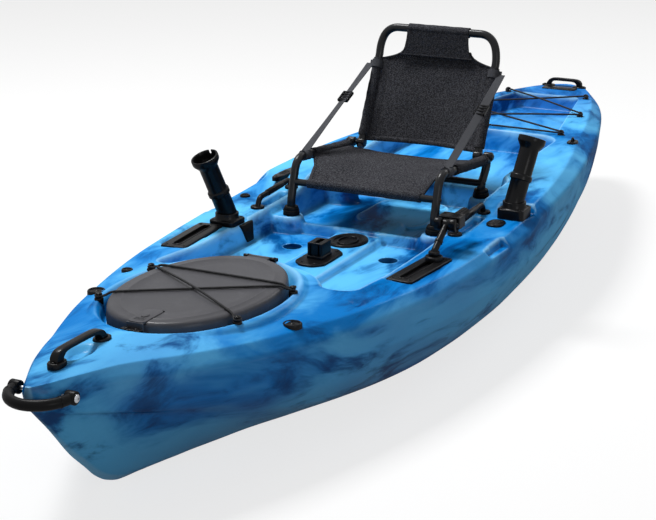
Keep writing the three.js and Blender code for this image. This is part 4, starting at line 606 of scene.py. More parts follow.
@dataclass(frozen=True)
class MarbledPlastic:
    """Rotomoulded plastic whose colours run into each other in clouds and streaks along the hull."""

    sky: tuple = rgb(96, 190, 246)
    blue: tuple = rgb(8, 120, 200)
    navy: tuple = rgb(2, 60, 118)
    violet: tuple = rgb(58, 112, 190)
    # painted highlight colour for the rims
    wear_and_highlight: tuple = rgb(150, 208, 244)
    # painted shade colour for creases and the scupper and drain bores
    painted_crease_shade: tuple = rgb(6, 44, 84)
    roughness: float = 0.3

    def made(self, name: str) -> bpy.types.Material:
        """Clouds of three blues with violet drifts, over a fine orange peel.

        The places are pushed about by one noise before a second noise is read there, so that the clouds curl.
        Each further colour comes in where its own noise is high, except a painted highlight that lightens the rims and
        painted shade that darkens creases and bores, both read from the rim attribute.
        """
        s = Shader(name)
        where = s.places((1.1, 0.5, 1.4))
        push = s.node("ShaderNodeTexNoise", None, {"Vector": where, "Scale": 1.9, "Detail": 3.0}, 1)
        curled = s.node(
            "ShaderNodeVectorMath", {"operation": "MULTIPLY_ADD"}, {0: push, 1: (0.85, 0.85, 0.85), 2: where}
        )
        cloud = s.noise(curled, 2.6, 5.0, 0.58)
        streak = s.noise(curled, 5.2, 6.0, 0.62)
        drift = s.noise(where, 1.7, 3.0, 0.5)
        colour = s.mix(cloud.between(0.40, 0.60), self.sky, self.blue)
        colour = s.mix(drift.between(0.52, 0.74) * 0.55, colour, self.violet)
        colour = s.mix(streak.between(0.50, 0.68) * 0.9, colour, self.navy)
        rim = s.node("ShaderNodeAttribute", {"attribute_name": "rim"}, output="Fac")
        # Painted highlight: rims are lightened where the rim attribute is high.
        colour = s.mix(rim.between(0.55, 0.9) * 0.6, colour, self.wear_and_highlight)
        # Painted shade: creases and bores are darkened where the rim attribute is low.
        colour = s.mix((1 - rim).between(0.55, 0.9) * 0.55, colour, self.painted_crease_shade)
        grain = s.noise(s.places(), 420.0, 2.0)
        ripple = s.noise(s.places(), 26.0, 2.0)
        s.set(Base_Color=colour, Roughness=self.roughness + 0.12 * cloud + 0.05 * grain)
        s.set(Specular_IOR_Level=0.0, Coat_Weight=0.06, Coat_Roughness=0.22, Coat_IOR=2.0)
        s.bump(grain * 0.35 + ripple * 2.2, 0.0006)
        return s.material


@dataclass(frozen=True)
class MouldedPlastic:
    """Plain moulded plastic or rubber with a fine grain and faint handling marks.

    Attributes:
        colour: Its colour.
        roughness: Its roughness.
        grain: How many grains lie along a metre, divided by two.
        depth: The grain's depth in metres.
        wear_and_highlight: How much lighter the rubbed places are.
        gloss: The weight of the clear skin that reflects.
    """

    colour: tuple
    roughness: float
    grain: float = 700.0
    depth: float = 0.0002
    wear_and_highlight: float = 0.25
    gloss: float = 0.08

    def made(self, name: str) -> bpy.types.Material:
        """Grain as bump, and cloudy marks that lighten the colour and change the gloss a little."""
        s = Shader(name)
        where = s.places()
        grain = s.noise(where, self.grain, 2.0, 0.6)
        marks = s.noise(where, 38.0, 4.0, 0.65)
        light = tuple(min(1.0, c * 1.7 + 0.006) for c in self.colour[:3]) + (1.0,)
        s.set(Base_Color=s.mix(marks.between(0.48, 0.78) * self.wear_and_highlight, self.colour, light))
        s.set(Roughness=self.roughness - 0.06 + 0.16 * marks, Specular_IOR_Level=0.02)
        s.set(Coat_Weight=self.gloss, Coat_Roughness=self.roughness * 0.6, Coat_IOR=2.0)
        s.bump(grain, self.depth)
        return s.material


@dataclass(frozen=True)
class CoatedTube:
    """Metal tube under a satin powder coat."""

    colour: tuple = rgb(24, 25, 27)
    light: tuple = rgb(34, 35, 38)
    roughness: float = 0.26

    def made(self, name: str) -> bpy.types.Material:
        """A fine pebbled coat with slightly duller patches."""
        s = Shader(name)
        pebble = s.noise(s.places(), 900.0, 2.0)
        patch = s.noise(s.places(), 14.0, 3.0)
        s.set(Base_Color=s.mix(patch, self.colour, self.light), Roughness=self.roughness + 0.14 * patch)
        s.set(Specular_IOR_Level=0.05, Coat_Weight=0.09, Coat_Roughness=0.16, Coat_IOR=2.0)
        s.bump(pebble, 0.00025)
        return s.material


@dataclass(frozen=True)
class WovenCloth:
    """Coarse woven mesh cloth.

    Attributes:
        dark: The colour in the gaps.
        light: The colour of the threads.
        pitch: The distance from thread to thread in metres.
        depth: The threads' height in metres.
    """

    dark: tuple = rgb(26, 26, 29)
    light: tuple = rgb(102, 103, 109)
    pitch: float = 0.0024
    depth: float = 0.0006

    def made(self, name: str) -> bpy.types.Material:
        """Threads over and under each other, with flecks of lighter yarn.

        Two sine waves square to each other are multiplied, so that raised threads stand in a chequer. A
        coarser noise makes the yarn uneven.
        """
        s = Shader(name)
        across, along = s.axes(math.pi / self.pitch)
        weave = across.sine() * along.sine() * 0.5 + 0.5
        yarn = s.noise(s.places(), 240.0, 3.0, 0.7)
        cloudy = s.noise(s.places(), 9.0, 3.0)
        thread = weave.between(0.2, 0.85) * (0.25 + 1.1 * yarn.between(0.36, 0.66))
        s.set(Base_Color=s.mix(thread * (0.55 + 0.5 * cloudy), self.dark, self.light), Roughness=0.82 + 0.12 * yarn)
        s.set(Specular_IOR_Level=0.0, Sheen_Weight=0.02, Sheen_Roughness=0.5)
        s.bump(weave + yarn * 0.6, self.depth)
        return s.material


@dataclass(frozen=True)
class WovenStrap:
    """Flat webbing with a rib every two millimetres."""

    colour: tuple = rgb(46, 47, 51)
    light: tuple = rgb(82, 84, 90)

    def made(self, name: str) -> bpy.types.Material:
        """Ribs across the strap crossed with a herringbone along it, worked from its own surface places."""
        s = Shader(name)
        across, along = s.axes()
        weave = (along * 2600.0 + across * 1500.0).sine() * (across * 3100.0).sine() * 0.5 + 0.5
        yarn = s.noise(s.places(), 500.0, 2.0)
        s.set(Base_Color=s.mix(weave * (0.4 + 0.6 * yarn), self.colour, self.light), Roughness=0.7 + 0.15 * yarn)
        s.set(Specular_IOR_Level=0.2)
        s.bump(weave, 0.0006)
        return s.material


@dataclass(frozen=True)
class BraidedCord:
    """Black shock cord with a light fleck in its braid."""

    colour: tuple = rgb(22, 22, 24)
    fleck: tuple = rgb(74, 76, 80)

    def made(self, name: str) -> bpy.types.Material:
        """Crossed slanting waves along the cord, with a fleck where a slow noise is high."""
        s = Shader(name)
        across, along = s.axes()
        slant, climb = across * 1700.0, along * 1900.0
        braid = (climb + slant).sine() * (climb - slant).sine() * 0.5 + 0.5
        fleck = s.noise(s.places(), 300.0, 1.0).between(0.62, 0.7)
        s.set(Base_Color=s.mix(fleck * 0.5 + braid * 0.25, self.colour, self.fleck), Roughness=0.62 + 0.1 * braid)
        s.set(Specular_IOR_Level=0.2)
        s.bump(braid, 0.0006)
        return s.material


@dataclass(frozen=True)
class BareSteel:
    """Stainless steel of screws and bolts."""

    colour: tuple = rgb(176, 178, 182)

    def made(self, name: str) -> bpy.types.Material:
        """Polished metal with a fine haze."""
        s = Shader(name)
        haze = s.noise(s.places(), 260.0, 3.0)
        s.set(Base_Color=s.mix(haze * 0.5, self.colour, rgb(120, 122, 126)), Metallic=1.0, Roughness=0.2 + 0.2 * haze)
        s.bump(haze, 0.0001)
        return s.material


FINISHES = {
    Look.HULL: MarbledPlastic(),
    Look.LID: MouldedPlastic(rgb(74, 74, 78), 0.42, 520.0, 0.0004),
    Look.FITTING: MouldedPlastic(rgb(17, 17, 19), 0.3, gloss=0.07),
    Look.RUBBER: MouldedPlastic(rgb(19, 19, 20), 0.45, 900.0, 0.0001, gloss=0.04),
    Look.TUBE: CoatedTube(),
    Look.CLOTH: WovenCloth(),
    Look.SLEEVE: WovenCloth(rgb(13, 13, 15), rgb(34, 35, 38), 0.0018),
    Look.BINDING: WovenCloth(rgb(15, 15, 17), rgb(52, 53, 57), 0.0016),
    Look.WEBBING: WovenStrap(),
    Look.CORD: BraidedCord(),
    Look.STEEL: BareSteel(),
}
PLAIN, SCREWED, RUBBER = (Look.FITTING,), (Look.FITTING, Look.STEEL), (Look.RUBBER,)


class Workshop:
    """Turns shapes into pieces, with their finishes and bodies."""

    def __init__(self) -> None:
        """Makes every finish once."""
        self.materials = {look: finish.made(f"finish_{look.value}") for look, finish in FINISHES.items()}

    def mesh(self, name: str, form: Form, looks: Sequence[Look] = (), sharp: float = 40.0) -> bpy.types.Object:
        """Puts a shape into a new object, in metres.

        Args:
            name: The object's name.
            form: The shape.
            looks: The finishes, in the order of the form's finish numbers.
            sharp: Edges that turn more than this many degrees stay sharp.

        Returns:
            The object, smooth shaded, with its faces turned outwards.
        """
        mesh = bpy.data.meshes.new(name)
        starts = np.concatenate(([0], np.cumsum(form.sizes)[:-1]))
        mesh.vertices.add(len(form.points))
        mesh.loops.add(len(form.loops))
        mesh.polygons.add(len(form.sizes))
        mesh.vertices.foreach_set("co", (form.points * MILLIMETRE).astype(np.float32).reshape(-1))
        mesh.loops.foreach_set("vertex_index", form.loops.astype(np.int32))
        mesh.polygons.foreach_set("loop_start", starts.astype(np.int32))
        mesh.polygons.foreach_set("material_index", form.finish.astype(np.int32))
        mesh.update(calc_edges=True)
        layer = mesh.uv_layers.new(name="surface")
        layer.data.foreach_set("uv", form.across.astype(np.float32).reshape(-1))
        work = bmesh.new()
        work.from_mesh(mesh)
        bmesh.ops.remove_doubles(work, verts=work.verts, dist=5e-6)
        bmesh.ops.recalc_face_normals(work, faces=work.faces)
        work.to_mesh(mesh)
        work.free()
        thing = bpy.data.objects.new(name, mesh)
        bpy.context.scene.collection.objects.link(thing)
        self.dress(thing, looks)
        self.smooth(thing, sharp)
        return thing

    def dress(self, thing: bpy.types.Object, looks: Sequence[Look]) -> None:
        """Gives an object its finishes."""
        thing.data.materials.clear()
        for look in looks:
            thing.data.materials.append(self.materials[look])

    def smooth(self, thing: bpy.types.Object, sharp: float) -> None:
        """Smooth shading, broken where edges turn more than some degrees."""
        thing.data.shade_smooth()
        thing.data.set_sharp_from_angle(angle=math.radians(sharp))

    def settle(self, thing: bpy.types.Object) -> None:
        """Replaces an object's mesh with what its modifiers make of it."""
        graph = bpy.context.evaluated_depsgraph_get()
        made = bpy.data.meshes.new_from_object(thing.evaluated_get(graph))
        thing.modifiers.clear()
        thing.data = made

    def cut(self, thing: bpy.types.Object, tool: Form) -> None:
        """Takes a closed shape away from an object."""
        knife = self.mesh("knife", tool)
        cutter = thing.modifiers.new("cut", "BOOLEAN")
        cutter.operation = "DIFFERENCE"
        cutter.solver = "EXACT"
        cutter.object = knife
        self.settle(thing)
        bpy.data.objects.remove(knife)

    def piece(
        self,
        name: str,
        form: Form,
        body: str,
        looks: Sequence[Look],
        *nodes: str,
        cuts: Sequence[Form] = (),
        edge: float = 0.0,
        sharp: float = 40.0,
    ) -> bpy.types.Object:
        """Makes a piece that rides on a body.

        Args:
            name: The piece's name.
            form: Its shape.
            body: The body that it rides on.
            looks: Its finishes.
            nodes: The solids that it stands for.
            cuts: Closed shapes that are taken away from it.
            edge: The width of a bevel on its sharp edges, in millimetres.
            sharp: Edges that turn more than this many degrees count as sharp.

        Returns:
            The piece.
        """
        thing = self.mesh(name, form, looks, sharp)
        for tool in cuts:
            self.cut(thing, tool)
        if cuts:
            self.dress(thing, looks)
            self.smooth(thing, sharp)
        if edge:
            bevel = thing.modifiers.new("edge", "BEVEL")
            bevel.width = edge * MILLIMETRE
            bevel.segments = 2
            bevel.limit_method = "ANGLE"
            bevel.angle_limit = math.radians(sharp)
            bevel.use_clamp_overlap = True
            bevel.harden_normals = False
            self.settle(thing)
            self.smooth(thing, 50)
        return self.rest(thing, body, looks, nodes)

    def rest(self, thing: bpy.types.Object, body: str, looks: Sequence[Look], nodes: Sequence[str]) -> bpy.types.Object:
        """Puts a finished object on its body and hides the solids that it stands for."""
        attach(thing, body)
        if nodes:
            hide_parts(*nodes)
        log.info("%s: %d faces", thing.name, len(thing.data.polygons))
        return thing


# ---- Hull ----
BEAM_SHARES = (
    (0, 0.018), (0.005, 0.058), (0.021, 0.128), (0.048, 0.238), (0.102, 0.428), (0.156, 0.602), (0.215, 0.743),
    (0.275, 0.857), (0.33, 0.93), (0.395, 0.98), (0.46, 1), (0.514, 1), (0.573, 0.987), (0.633, 0.95),
    (0.693, 0.885), (0.7525, 0.8), (0.812, 0.7), (0.872, 0.583), (0.924, 0.458), (0.9615, 0.335),
    (0.985, 0.21), (0.996, 0.105), (1, 0.04),
)
EDGE_HEIGHT_SHARES = (
    (0, 0.945), (0.048, 0.956), (0.102, 0.907), (0.156, 0.869), (0.215, 0.842), (0.275, 0.825),
    (0.362, 0.814), (0.454, 0.83), (0.505, 0.848), (0.521, 0.862), (0.54, 0.92), (0.573, 0.937),
    (0.633, 0.964), (0.693, 0.984), (0.752, 0.995), (0.872, 1), (1, 0.989),
)
BEVEL_OUT_SHARES = ((0, 0.25), (0.1, 0.6), (0.5, 0.55), (0.65, 0.8), (0.75, 1), (0.95, 0.8), (1, 0.3))
BEVEL_DROP_SHARES = ((0, 0.5), (0.1, 0.85), (0.4, 0.72), (0.55, 0.8), (0.75, 1), (0.95, 0.9), (1, 0.6))
CROWN_SHARES = (
    (0, 0), (0.04, 0.2), (0.102, 0.58), (0.156, 0.8), (0.215, 1), (0.26, 0.95), (0.3, 0.55), (0.345, 0.15),
    (0.4, 0.1), (0.6, 0.15), (0.75, 0.12), (1, 0),
)
PANEL_OUT_SHARES = ((0, 0.85), (0.05, 0.93), (0.15, 0.985), (0.5, 0.99), (0.8, 0.985), (0.95, 0.95), (1, 0.85))
PANEL_HEIGHT_SHARES = (
    (0, 0.885), (0.02, 0.76), (0.06, 0.67), (0.126, 0.596), (0.17, 0.56), (0.275, 0.53), (0.454, 0.511),
    (0.514, 0.538), (0.588, 0.587), (0.645, 0.648), (0.75, 0.71), (0.87, 0.745), (0.96, 0.78), (1, 0.86),
)
CHINE_OUT_SHARES = (
    (0, 0.7), (0.017, 0.66), (0.045, 0.71), (0.08, 0.76), (0.15, 0.775), (0.215, 0.79), (0.3, 0.767),
    (0.5, 0.77), (0.65, 0.78), (0.74, 0.79), (0.8, 0.83), (0.9, 0.85), (0.96, 0.8), (1, 0.7),
)
CHINE_HEIGHT_SHARES = (
    (0, 0.87), (0.006, 0.8), (0.017, 0.74), (0.045, 0.68), (0.078, 0.59), (0.117, 0.49), (0.15, 0.4),
    (0.177, 0.34), (0.215, 0.266), (0.248, 0.215), (0.305, 0.163), (0.395, 0.109), (0.505, 0.1), (0.573, 0.13),
    (0.654, 0.174), (0.738, 0.223), (0.782, 0.285), (0.842, 0.367), (0.9, 0.449), (0.96, 0.6), (0.99, 0.74),
    (1, 0.84),
)
FOOT_OUT_SHARES = (
    (0, 0.3), (0.02, 0.18), (0.1, 0.12), (0.15, 0.18), (0.2, 0.26), (0.245, 0.38), (0.3, 0.5), (0.36, 0.58),
    (0.454, 0.615), (0.573, 0.61), (0.693, 0.59), (0.782, 0.55), (0.842, 0.5), (0.9, 0.47), (0.96, 0.37), (1, 0.3),
)
FOOT_RISE_SHARES = ((0, 0.2), (0.08, 0.12), (0.15, 0.05), (0.2, 0), (0.78, 0), (0.86, 0.06), (1, 0.2))
KEEL_HEIGHT_SHARES = (
    (0, 0.85), (0.003, 0.81), (0.009, 0.74), (0.021, 0.61), (0.04, 0.4), (0.056, 0.26), (0.067, 0.164),
    (0.08, 0.087), (0.096, 0.035), (0.122, 0.006), (0.15, 0), (0.8, 0), (0.857, 0.022), (0.902, 0.095),
    (0.946, 0.232), (0.976, 0.41), (0.992, 0.62), (1, 0.8),
)
BILGE_BULGE_SHARES = ((0, 0), (0.22, 0), (0.33, 0.06), (0.5, 0.12), (0.8, 0.1), (1, 0.1))


def round_box(x: Array, y: Array, half_width: Array | float, half_length: float, radius: float) -> Array:
    """The distance outside a rectangle with round corners; negative inside.

    It is the distance to the rectangle shrunk by the radius, less the radius.
    """
    across = np.abs(x) - half_width + radius
    along = np.abs(y) - half_length + radius
    outside = np.hypot(np.maximum(across, 0), np.maximum(along, 0))
    return outside + np.minimum(np.maximum(across, along), 0) - radius


def pit(x: Array, y: Array, front: float, rear: float, half_width: Array | float, radius: float) -> Array:
    """The distance outside a rectangle with round corners on the middle line, from its front to its rear."""
    return round_box(x, y - (front + rear) / 2, half_width, (rear - front) / 2, radius)


def lowered(z: Array, inside: Array, level: Array | float) -> Array:
    """Heights brought down to a level where they lie inside."""
    return np.where(inside, np.minimum(z, level), z)


@dataclass(frozen=True)
class HullForm:
    """The hull's outer form and the places that its fittings share, in millimetres."""

    length: float = 3350.0
    half_beam: float = 455.0
    height: float = 366.0
    bevel_width: float = 44.0
    bevel_depth: float = 38.0
    crown: float = 45.0
    side_bulge: float = 0.02
    hatch_share: float = -0.2955
    lid_half_width: float = 187.0
    lid_half_length: float = 277.0
    lid_power: float = 2.06
    lid_top: float = 359.0
    rim: float = 345.0
    floor: float = 237.0
    console_top: float = 255.0
    track_share: float = -0.138
    track_offset: float = 338.0
    track_turn: float = 0.022 * math.pi
    bulkhead_share: float = -0.031
    bulkhead_half: float = 13.0
    seat_shares: tuple = (-0.0302, 0.0735)
    seat_heights: tuple = (284.0, 305.0)
    seat_half_width: float = 223.0
    grip_offset: float = 306.0
    track_half: float = 118.0
    holder_half: float = 39.0

    def along(self, share: float) -> float:
        """The place along the hull for a share of its length."""
        return share * self.length

    @property
    def hatch_y(self) -> float:
        """The middle of the hatch."""
        return self.along(self.hatch_share)

    @property
    def track_y(self) -> float:
        """The middle of the tracks."""
        return self.along(self.track_share)

    @property
    def track_level(self) -> float:
        """The deck's height at the middle of a track."""
        return self.level(self.track_offset, self.track_y)

    @property
    def holders(self) -> tuple:
        """The places of the left and the right rod holder; the left one stands just behind its track."""
        return (-322.0, self.track_y + self.track_half + self.holder_half + 6.5), (392.0, self.along(0.0215))

    def lid_outline(self, count: int) -> Outline:
        """The lid's outline."""
        return oval(self.lid_half_width, self.lid_half_length, self.lid_power, count)

    def station(self, y: Array | float) -> Array:
        """The share of the length from the bow."""
        return np.asarray(y, float) / self.length + 0.5

    def shoulder_out(self, station: Array) -> Array:
        """Half the width at the shoulder."""
        return follow(BEAM_SHARES, station) * self.half_beam

    def edge_out(self, station: Array) -> Array:
        """Half the width at the deck's edge."""
        out = self.shoulder_out(station)
        return np.maximum(out - follow(BEVEL_OUT_SHARES, station) * self.bevel_width, out / 2)

    def edge_height(self, station: Array) -> Array:
        """The height of the deck's edge."""
        return follow(EDGE_HEIGHT_SHARES, station) * self.height

    def deck(self, x: Array | float, y: Array | float) -> Array:
        """The deck's height without its wells: the edge's height and a crown that falls off with the square."""
        station = self.station(y)
        across = np.minimum(1, np.abs(x) / self.edge_out(station))
        return self.edge_height(station) + follow(CROWN_SHARES, station) * self.crown * (1 - across**2)

    def level(self, x: float, y: float) -> float:
        """The deck's height at one place."""
        return float(self.deck(x, np.array([y]))[0])

    def spot(self, x: float, share: float) -> Array:
        """A place on the deck at a share of the length."""
        return point(x, self.along(share), self.level(x, self.along(share)))

    def beside_track(self, x: Array, y: Array) -> tuple[Array, Array]:
        """Places as seen from the middle of the right track, across and along it."""
        c, s = math.cos(self.track_turn), math.sin(self.track_turn)
        x, y = x - self.track_offset, y - self.track_y
        return x * c - y * s, x * s + y * c

    def half_section(self, station: Array) -> Array:
        """Rows of the corners of half a cross section, from the keel round the side to the deck's edge."""
        out = self.shoulder_out(station)
        keel = follow(KEEL_HEIGHT_SHARES, station) * self.height
        chine_x = follow(CHINE_OUT_SHARES, station) * out
        chine_z = follow(CHINE_HEIGHT_SHARES, station) * self.height
        foot_x = follow(FOOT_OUT_SHARES, station) * out
        foot_z = keel + follow(FOOT_RISE_SHARES, station) * (chine_z - keel)
        panel_x = follow(PANEL_OUT_SHARES, station) * out
        panel_z = follow(PANEL_HEIGHT_SHARES, station) * self.height
        edge_z = self.edge_height(station)
        shoulder_z = edge_z - follow(BEVEL_DROP_SHARES, station) * self.bevel_depth
        bilge = follow(BILGE_BULGE_SHARES, station) * (chine_x - foot_x)
        side = self.side_bulge * out
        corners = (
            (0 * out, keel),
            (foot_x, foot_z),
            ((foot_x + chine_x) / 2 + bilge, (foot_z + chine_z) / 2 - bilge),
            (chine_x, chine_z),
            ((chine_x + panel_x) / 2 + side, (chine_z + panel_z) / 2 - side),
            (panel_x, panel_z),
            (out, shoulder_z),
            (self.edge_out(station), edge_z),
        )
        return np.stack([np.stack(corner, -1) for corner in corners], 1)

    def lid_margin(self, x: Array, y: Array) -> Array:
        """How far a place lies outside the lid's outline.

        The lid's outline grows by the same amount in width and length. A Newton step on the growth is
        repeated until the grown outline passes through the place.
        """
        p = self.lid_power
        grow = np.zeros(np.broadcast(x, y).shape)
        ax, ay = np.abs(x), np.abs(y - self.hatch_y)
        for _ in range(12):
            a, b = self.lid_half_width + grow, self.lid_half_length + grow
            size = (ax / a) ** p + (ay / b) ** p
            slope = -p * (ax**p / a ** (p + 1) + ay**p / b ** (p + 1))
            grow = np.clip(grow - (size - 1) / np.minimum(slope, -1e-4), -0.8 * self.lid_half_width, 4000)
        return grow


@dataclass
class HullShell:
    """The moulded hull: its outer shell, wells, pockets and bores."""

    shape: HullForm = field(default_factory=HullForm)
    rows: int = 800
    columns: int = 201
    bevel_columns: int = 12
    arc_steps: int = 5
    reaches: tuple = (30.0, 60.0, 10.0, 60.0, 7.0, 9.0)
    reach_share: float = 0.42
    soften_rounds: int = 4
    # How strongly the rim attribute drives the painted highlight on rims and the painted shade in creases.
    rim_shading_gain: float = 3.0
    most_faces: int = 190000
    no_limit: float = 900.0
    drain_share: float = -0.163
    drain_x: float = 190.0
    scuppers: tuple = ((147.0, -0.0715, 26.0), (90.0, 0.3, 11.0), (drain_x, drain_share, 11.0))
    console_half_width: float = 70.0
    cockpit_half_width: float = 278.0
    seat_well_half_width: float = 258.0
    well_corner: float = 62.0

    def side(self, station: Array) -> Array:
        """Rows of points from the keel to the deck's edge, with every corner rounded."""
        corner = self.shape.half_section(station)
        columns = [corner[:, :1]]
        for i, reach in enumerate(self.reaches, 1):
            near = corner[:, i - 1], corner[:, i], corner[:, i + 1]
            columns.append(rounding(*near, reach, self.reach_share, self.arc_steps))
        t = np.linspace(0, 1, self.bevel_columns + 1)[None, 1:, None]
        columns.append(columns[-1][:, -1:] * (1 - t) + corner[:, -1:] * t)
        return np.concatenate(columns, 1)

    def basin(self, gap: Array, floor: float, rim: float) -> Array:
        """The height of a well's floor and wall for the distance outside its outline."""
        return np.interp(gap, (-14, 0, 1), (floor, rim, self.no_limit))

    def carved(self, x: Array, y: Array, z: Array) -> Array:
        """The deck's height after its rim, wells and pockets.

        Every well is a height read from the distance to its outline; what is kept inside it is raised by a
        maximum, and the well lowers the deck by a minimum.
        """
        s = self.shape
        lid = s.lid_margin(x, y)
        z = np.where(lid < 59, np.maximum(z, np.interp(lid, (30.5, 40, 59), (s.rim, 340, 302))), z)
        z = np.minimum(z, np.interp(lid, (9, 11, 24, 90, 180), (310, 330, s.rim, s.height, 471)))
        console = pit(x, y, s.along(-0.205), s.along(0.02), self.console_half_width, 35)
        kept = np.interp(console, (0, 5, 6), (s.console_top, s.floor, 0))
        kept = np.maximum(kept, np.where(lid <= 74, self.no_limit, s.rim - (lid - 74) * 2.8))
        kept = np.maximum(kept, np.where(np.abs(y - s.along(s.bulkhead_share)) < s.bulkhead_half, 267, 0))
        for share, top in zip(s.seat_shares, s.seat_heights):
            post = np.hypot(np.maximum(0, s.seat_half_width - np.abs(x)), y - s.along(share))
            kept = np.maximum(kept, np.interp(post, (37, 43, 44), (top, s.floor, 0)))
        middle, rear = s.along(0.104), s.along(0.247)
        cockpit = pit(x, y, s.along(-0.2295), middle, self.cockpit_half_width, self.well_corner)
        z = np.minimum(z, np.maximum(self.basin(cockpit, s.floor, 305), kept))
        seat = pit(x, y, middle - 124, rear, self.seat_well_half_width, self.well_corner)
        z = np.minimum(z, np.maximum(self.basin(seat, 300, s.height), np.where(y < rear - 480, kept, 0)))
        front, rear = s.along(0.267), s.along(0.431)
        stern = pit(x, y, front, rear, np.interp(y, (front, rear), (226, 118)), 34)
        z = np.minimum(z, self.basin(stern, 312, s.height))
        track = round_box(*s.beside_track(np.abs(x), y), 37.5, 119.5, 9.5)
        z = lowered(z, track < 0, s.track_level - 4)
        scoop = s.along(-0.0525)
        station = s.station(np.array([scoop]))
        inside = (np.abs(x) > s.shoulder_out(station) - 25) & (np.abs(y - scoop) < 58)
        z = lowered(z, inside, s.edge_height(station) - 22)
        grip = s.along(-0.01425)
        ends = s.edge_height(s.station(np.array([grip - 64, grip + 64])))
        z = lowered(z, round_box(np.abs(x) - s.grip_offset, y - grip, 13, 64, 6.5) < 0, ends.min() - 12)
        z = self.recessed(x, y, z)
        for x0, share, radius in self.scuppers:
            gap = np.hypot(np.abs(x) - x0, y - s.along(share)) - radius
            z = z - np.interp(gap, (0, radius / 3), (3.0, 0.0))
        return z

    def recessed(self, x: Array, y: Array, z: Array) -> Array:
        """The deck's height after its shallow recesses, each a few millimetres below what lies round it.

        They are the finger scoop below the bow handle, the ledges round both rod holders, the pocket beside
        the left track, two small ovals and the raised tray below the seat.
        """
        s = self.shape
        scoop = np.hypot(x / 30, (y - s.along(-0.4431)) / 52)
        z = z - np.interp(scoop, (0, 0.55, 1), (17, 14, 0))
        for x0, y0 in s.holders:
            z = lowered(z, round_box(x - x0, y - y0, 51, 52, 22) < 0, s.level(x0, y0) - 6)
        across, along = s.beside_track(-x, y)
        z = np.where(round_box(across - 26, along - 6, 26, 100, 16) < 0, z - 9, z)
        for x0, y0, half, length in ((-232, -716, 11, 27), (322, -800, 15, 20)):
            z = z - np.interp(np.hypot((x - x0) / half, (y - y0) / length), (0.8, 1), (4.5, 0))
        tray = round_box(x, y - 185, 112, 140, 74)
        return z + np.where(z < s.floor + 4, np.interp(tray, (-9, -3, 0, 6), (6, 12, 12, 0)), 0)

    def shell(self) -> Form:
        """The closed outer surface: rings from the deck round the sides to the keel.

        Inner points of the deck and the bevels are then moved halfway to the mean of their four neighbours,
        a few times over, which rounds every rim and corner.
        """
        s = self.shape
        station = np.linspace(0, 1, self.rows)
        y = s.along(station - 0.5)[:, None]
        side = self.side(station)
        x = np.linspace(-1, 1, self.columns)[None, 1:-1] * s.edge_out(station)[:, None]
        y_deck = np.broadcast_to(y, x.shape)
        deck = point(x, y_deck, self.carved(x, y_deck, s.deck(x, y_deck)))
        right = point(side[..., 0], y, side[..., 1])
        bevel = right[:, -self.bevel_columns - 1 :]
        bevel[..., 2] = np.minimum(bevel[..., 2], self.carved(*np.moveaxis(bevel, -1, 0)))
        ring = np.concatenate((right * (-1, 1, 1), deck, right[:, ::-1][:, :-1]), 1)
        weight = np.ones(ring.shape[1])
        quiet = side.shape[1] - self.bevel_columns - 3
        weight[:quiet] = 0
        weight[len(weight) - quiet + 1 :] = 0
        for _ in range(self.soften_rounds):
            middle = ring[1:-1, 1:-1]
            mean = (ring[:-2, 1:-1] + ring[2:, 1:-1] + ring[1:-1, :-2] + ring[1:-1, 2:]) / 4
            ring[1:-1, 1:-1] = middle + (mean - middle) * 0.5 * weight[None, 1:-1, None]
        return sheet_of(ring, ring=True, caps=True)

    def bores(self) -> Form:
        """The scupper and drain holes, each a cylinder through the hull."""
        holes = [(side * x, share, radius) for x, share, radius in self.scuppers for side in (-1, 1)]
        return join(
            stack(oval(radius, radius, count=40), [(-60, 0), (400, 0)]).moved(point(x, self.shape.along(share), 0))
            for x, share, radius in holes
        )

    def hollow(self) -> Form:
        """The space inside the bow: the section drawn in by the wall, below the hatch's seat."""
        s = self.shape
        station = np.linspace(0.06, 0.266, 60)
        side = self.side(station)
        keel = side[:, :1, 1]
        x = side[..., 0] * np.maximum(0.1, 1 - 9 / s.shoulder_out(station)[:, None])
        z = np.minimum(keel + (side[..., 1] - keel) * 0.96 + 6, 297)
        x = np.where(side[..., 1] > 300, np.minimum(x, x.max(1, keepdims=True) - 6), x)
        right = point(x, s.along(station - 0.5)[:, None], z)
        left = right[:, ::-1][:, :-1] * (-1, 1, 1)
        return sheet_of(np.concatenate((left, right), 1), ring=True, caps=True)

    def mouth(self) -> Form:
        """The hatch's opening inside the coaming."""
        s = self.shape
        return stack(s.lid_outline(120), [(285, -37), (430, -37)]).moved(point(0, s.hatch_y, 0))

    def coaming(self) -> Form:
        """The upright ring round the hatch's opening, with a rounded top."""
        s = self.shape
        levels = [(306, -32), (344, -32), (346, -33), (346, -36), (344, -37), (290, -37), (290, -34)]
        return sheet_of(rings(s.lid_outline(120), levels), ring=True, loop=True).moved(point(0, s.hatch_y, 0))

    def paint_rim_shading(self, hull: bpy.types.Object) -> None:
        """Stores how far each point stands proud of its neighbours, for a painted highlight on rims and painted shade
        in creases.

        The mean of the neighbours, less the point itself, is measured along the normal and divided by the
        mean length of the edges there, which makes it a slope: one half is flat, more is a rim and less a
        crease. It is spread once to the neighbours.
        """
        mesh = hull.data
        count = len(mesh.vertices)
        place, normal = np.empty(count * 3), np.empty(count * 3)
        mesh.vertices.foreach_get("co", place)
        mesh.vertices.foreach_get("normal", normal)
        place, normal = place.reshape(-1, 3), normal.reshape(-1, 3)
        ends = np.empty(len(mesh.edges) * 2, np.int64)
        mesh.edges.foreach_get("vertices", ends)
        a, b = ends.reshape(-1, 2).T
        near = np.maximum(np.bincount(ends, minlength=count), 1)

        def mean(first: Array, second: Array) -> Array:
            """Each point's mean of a value that its neighbours have."""
            return (np.bincount(a, first, count) + np.bincount(b, second, count)) / near

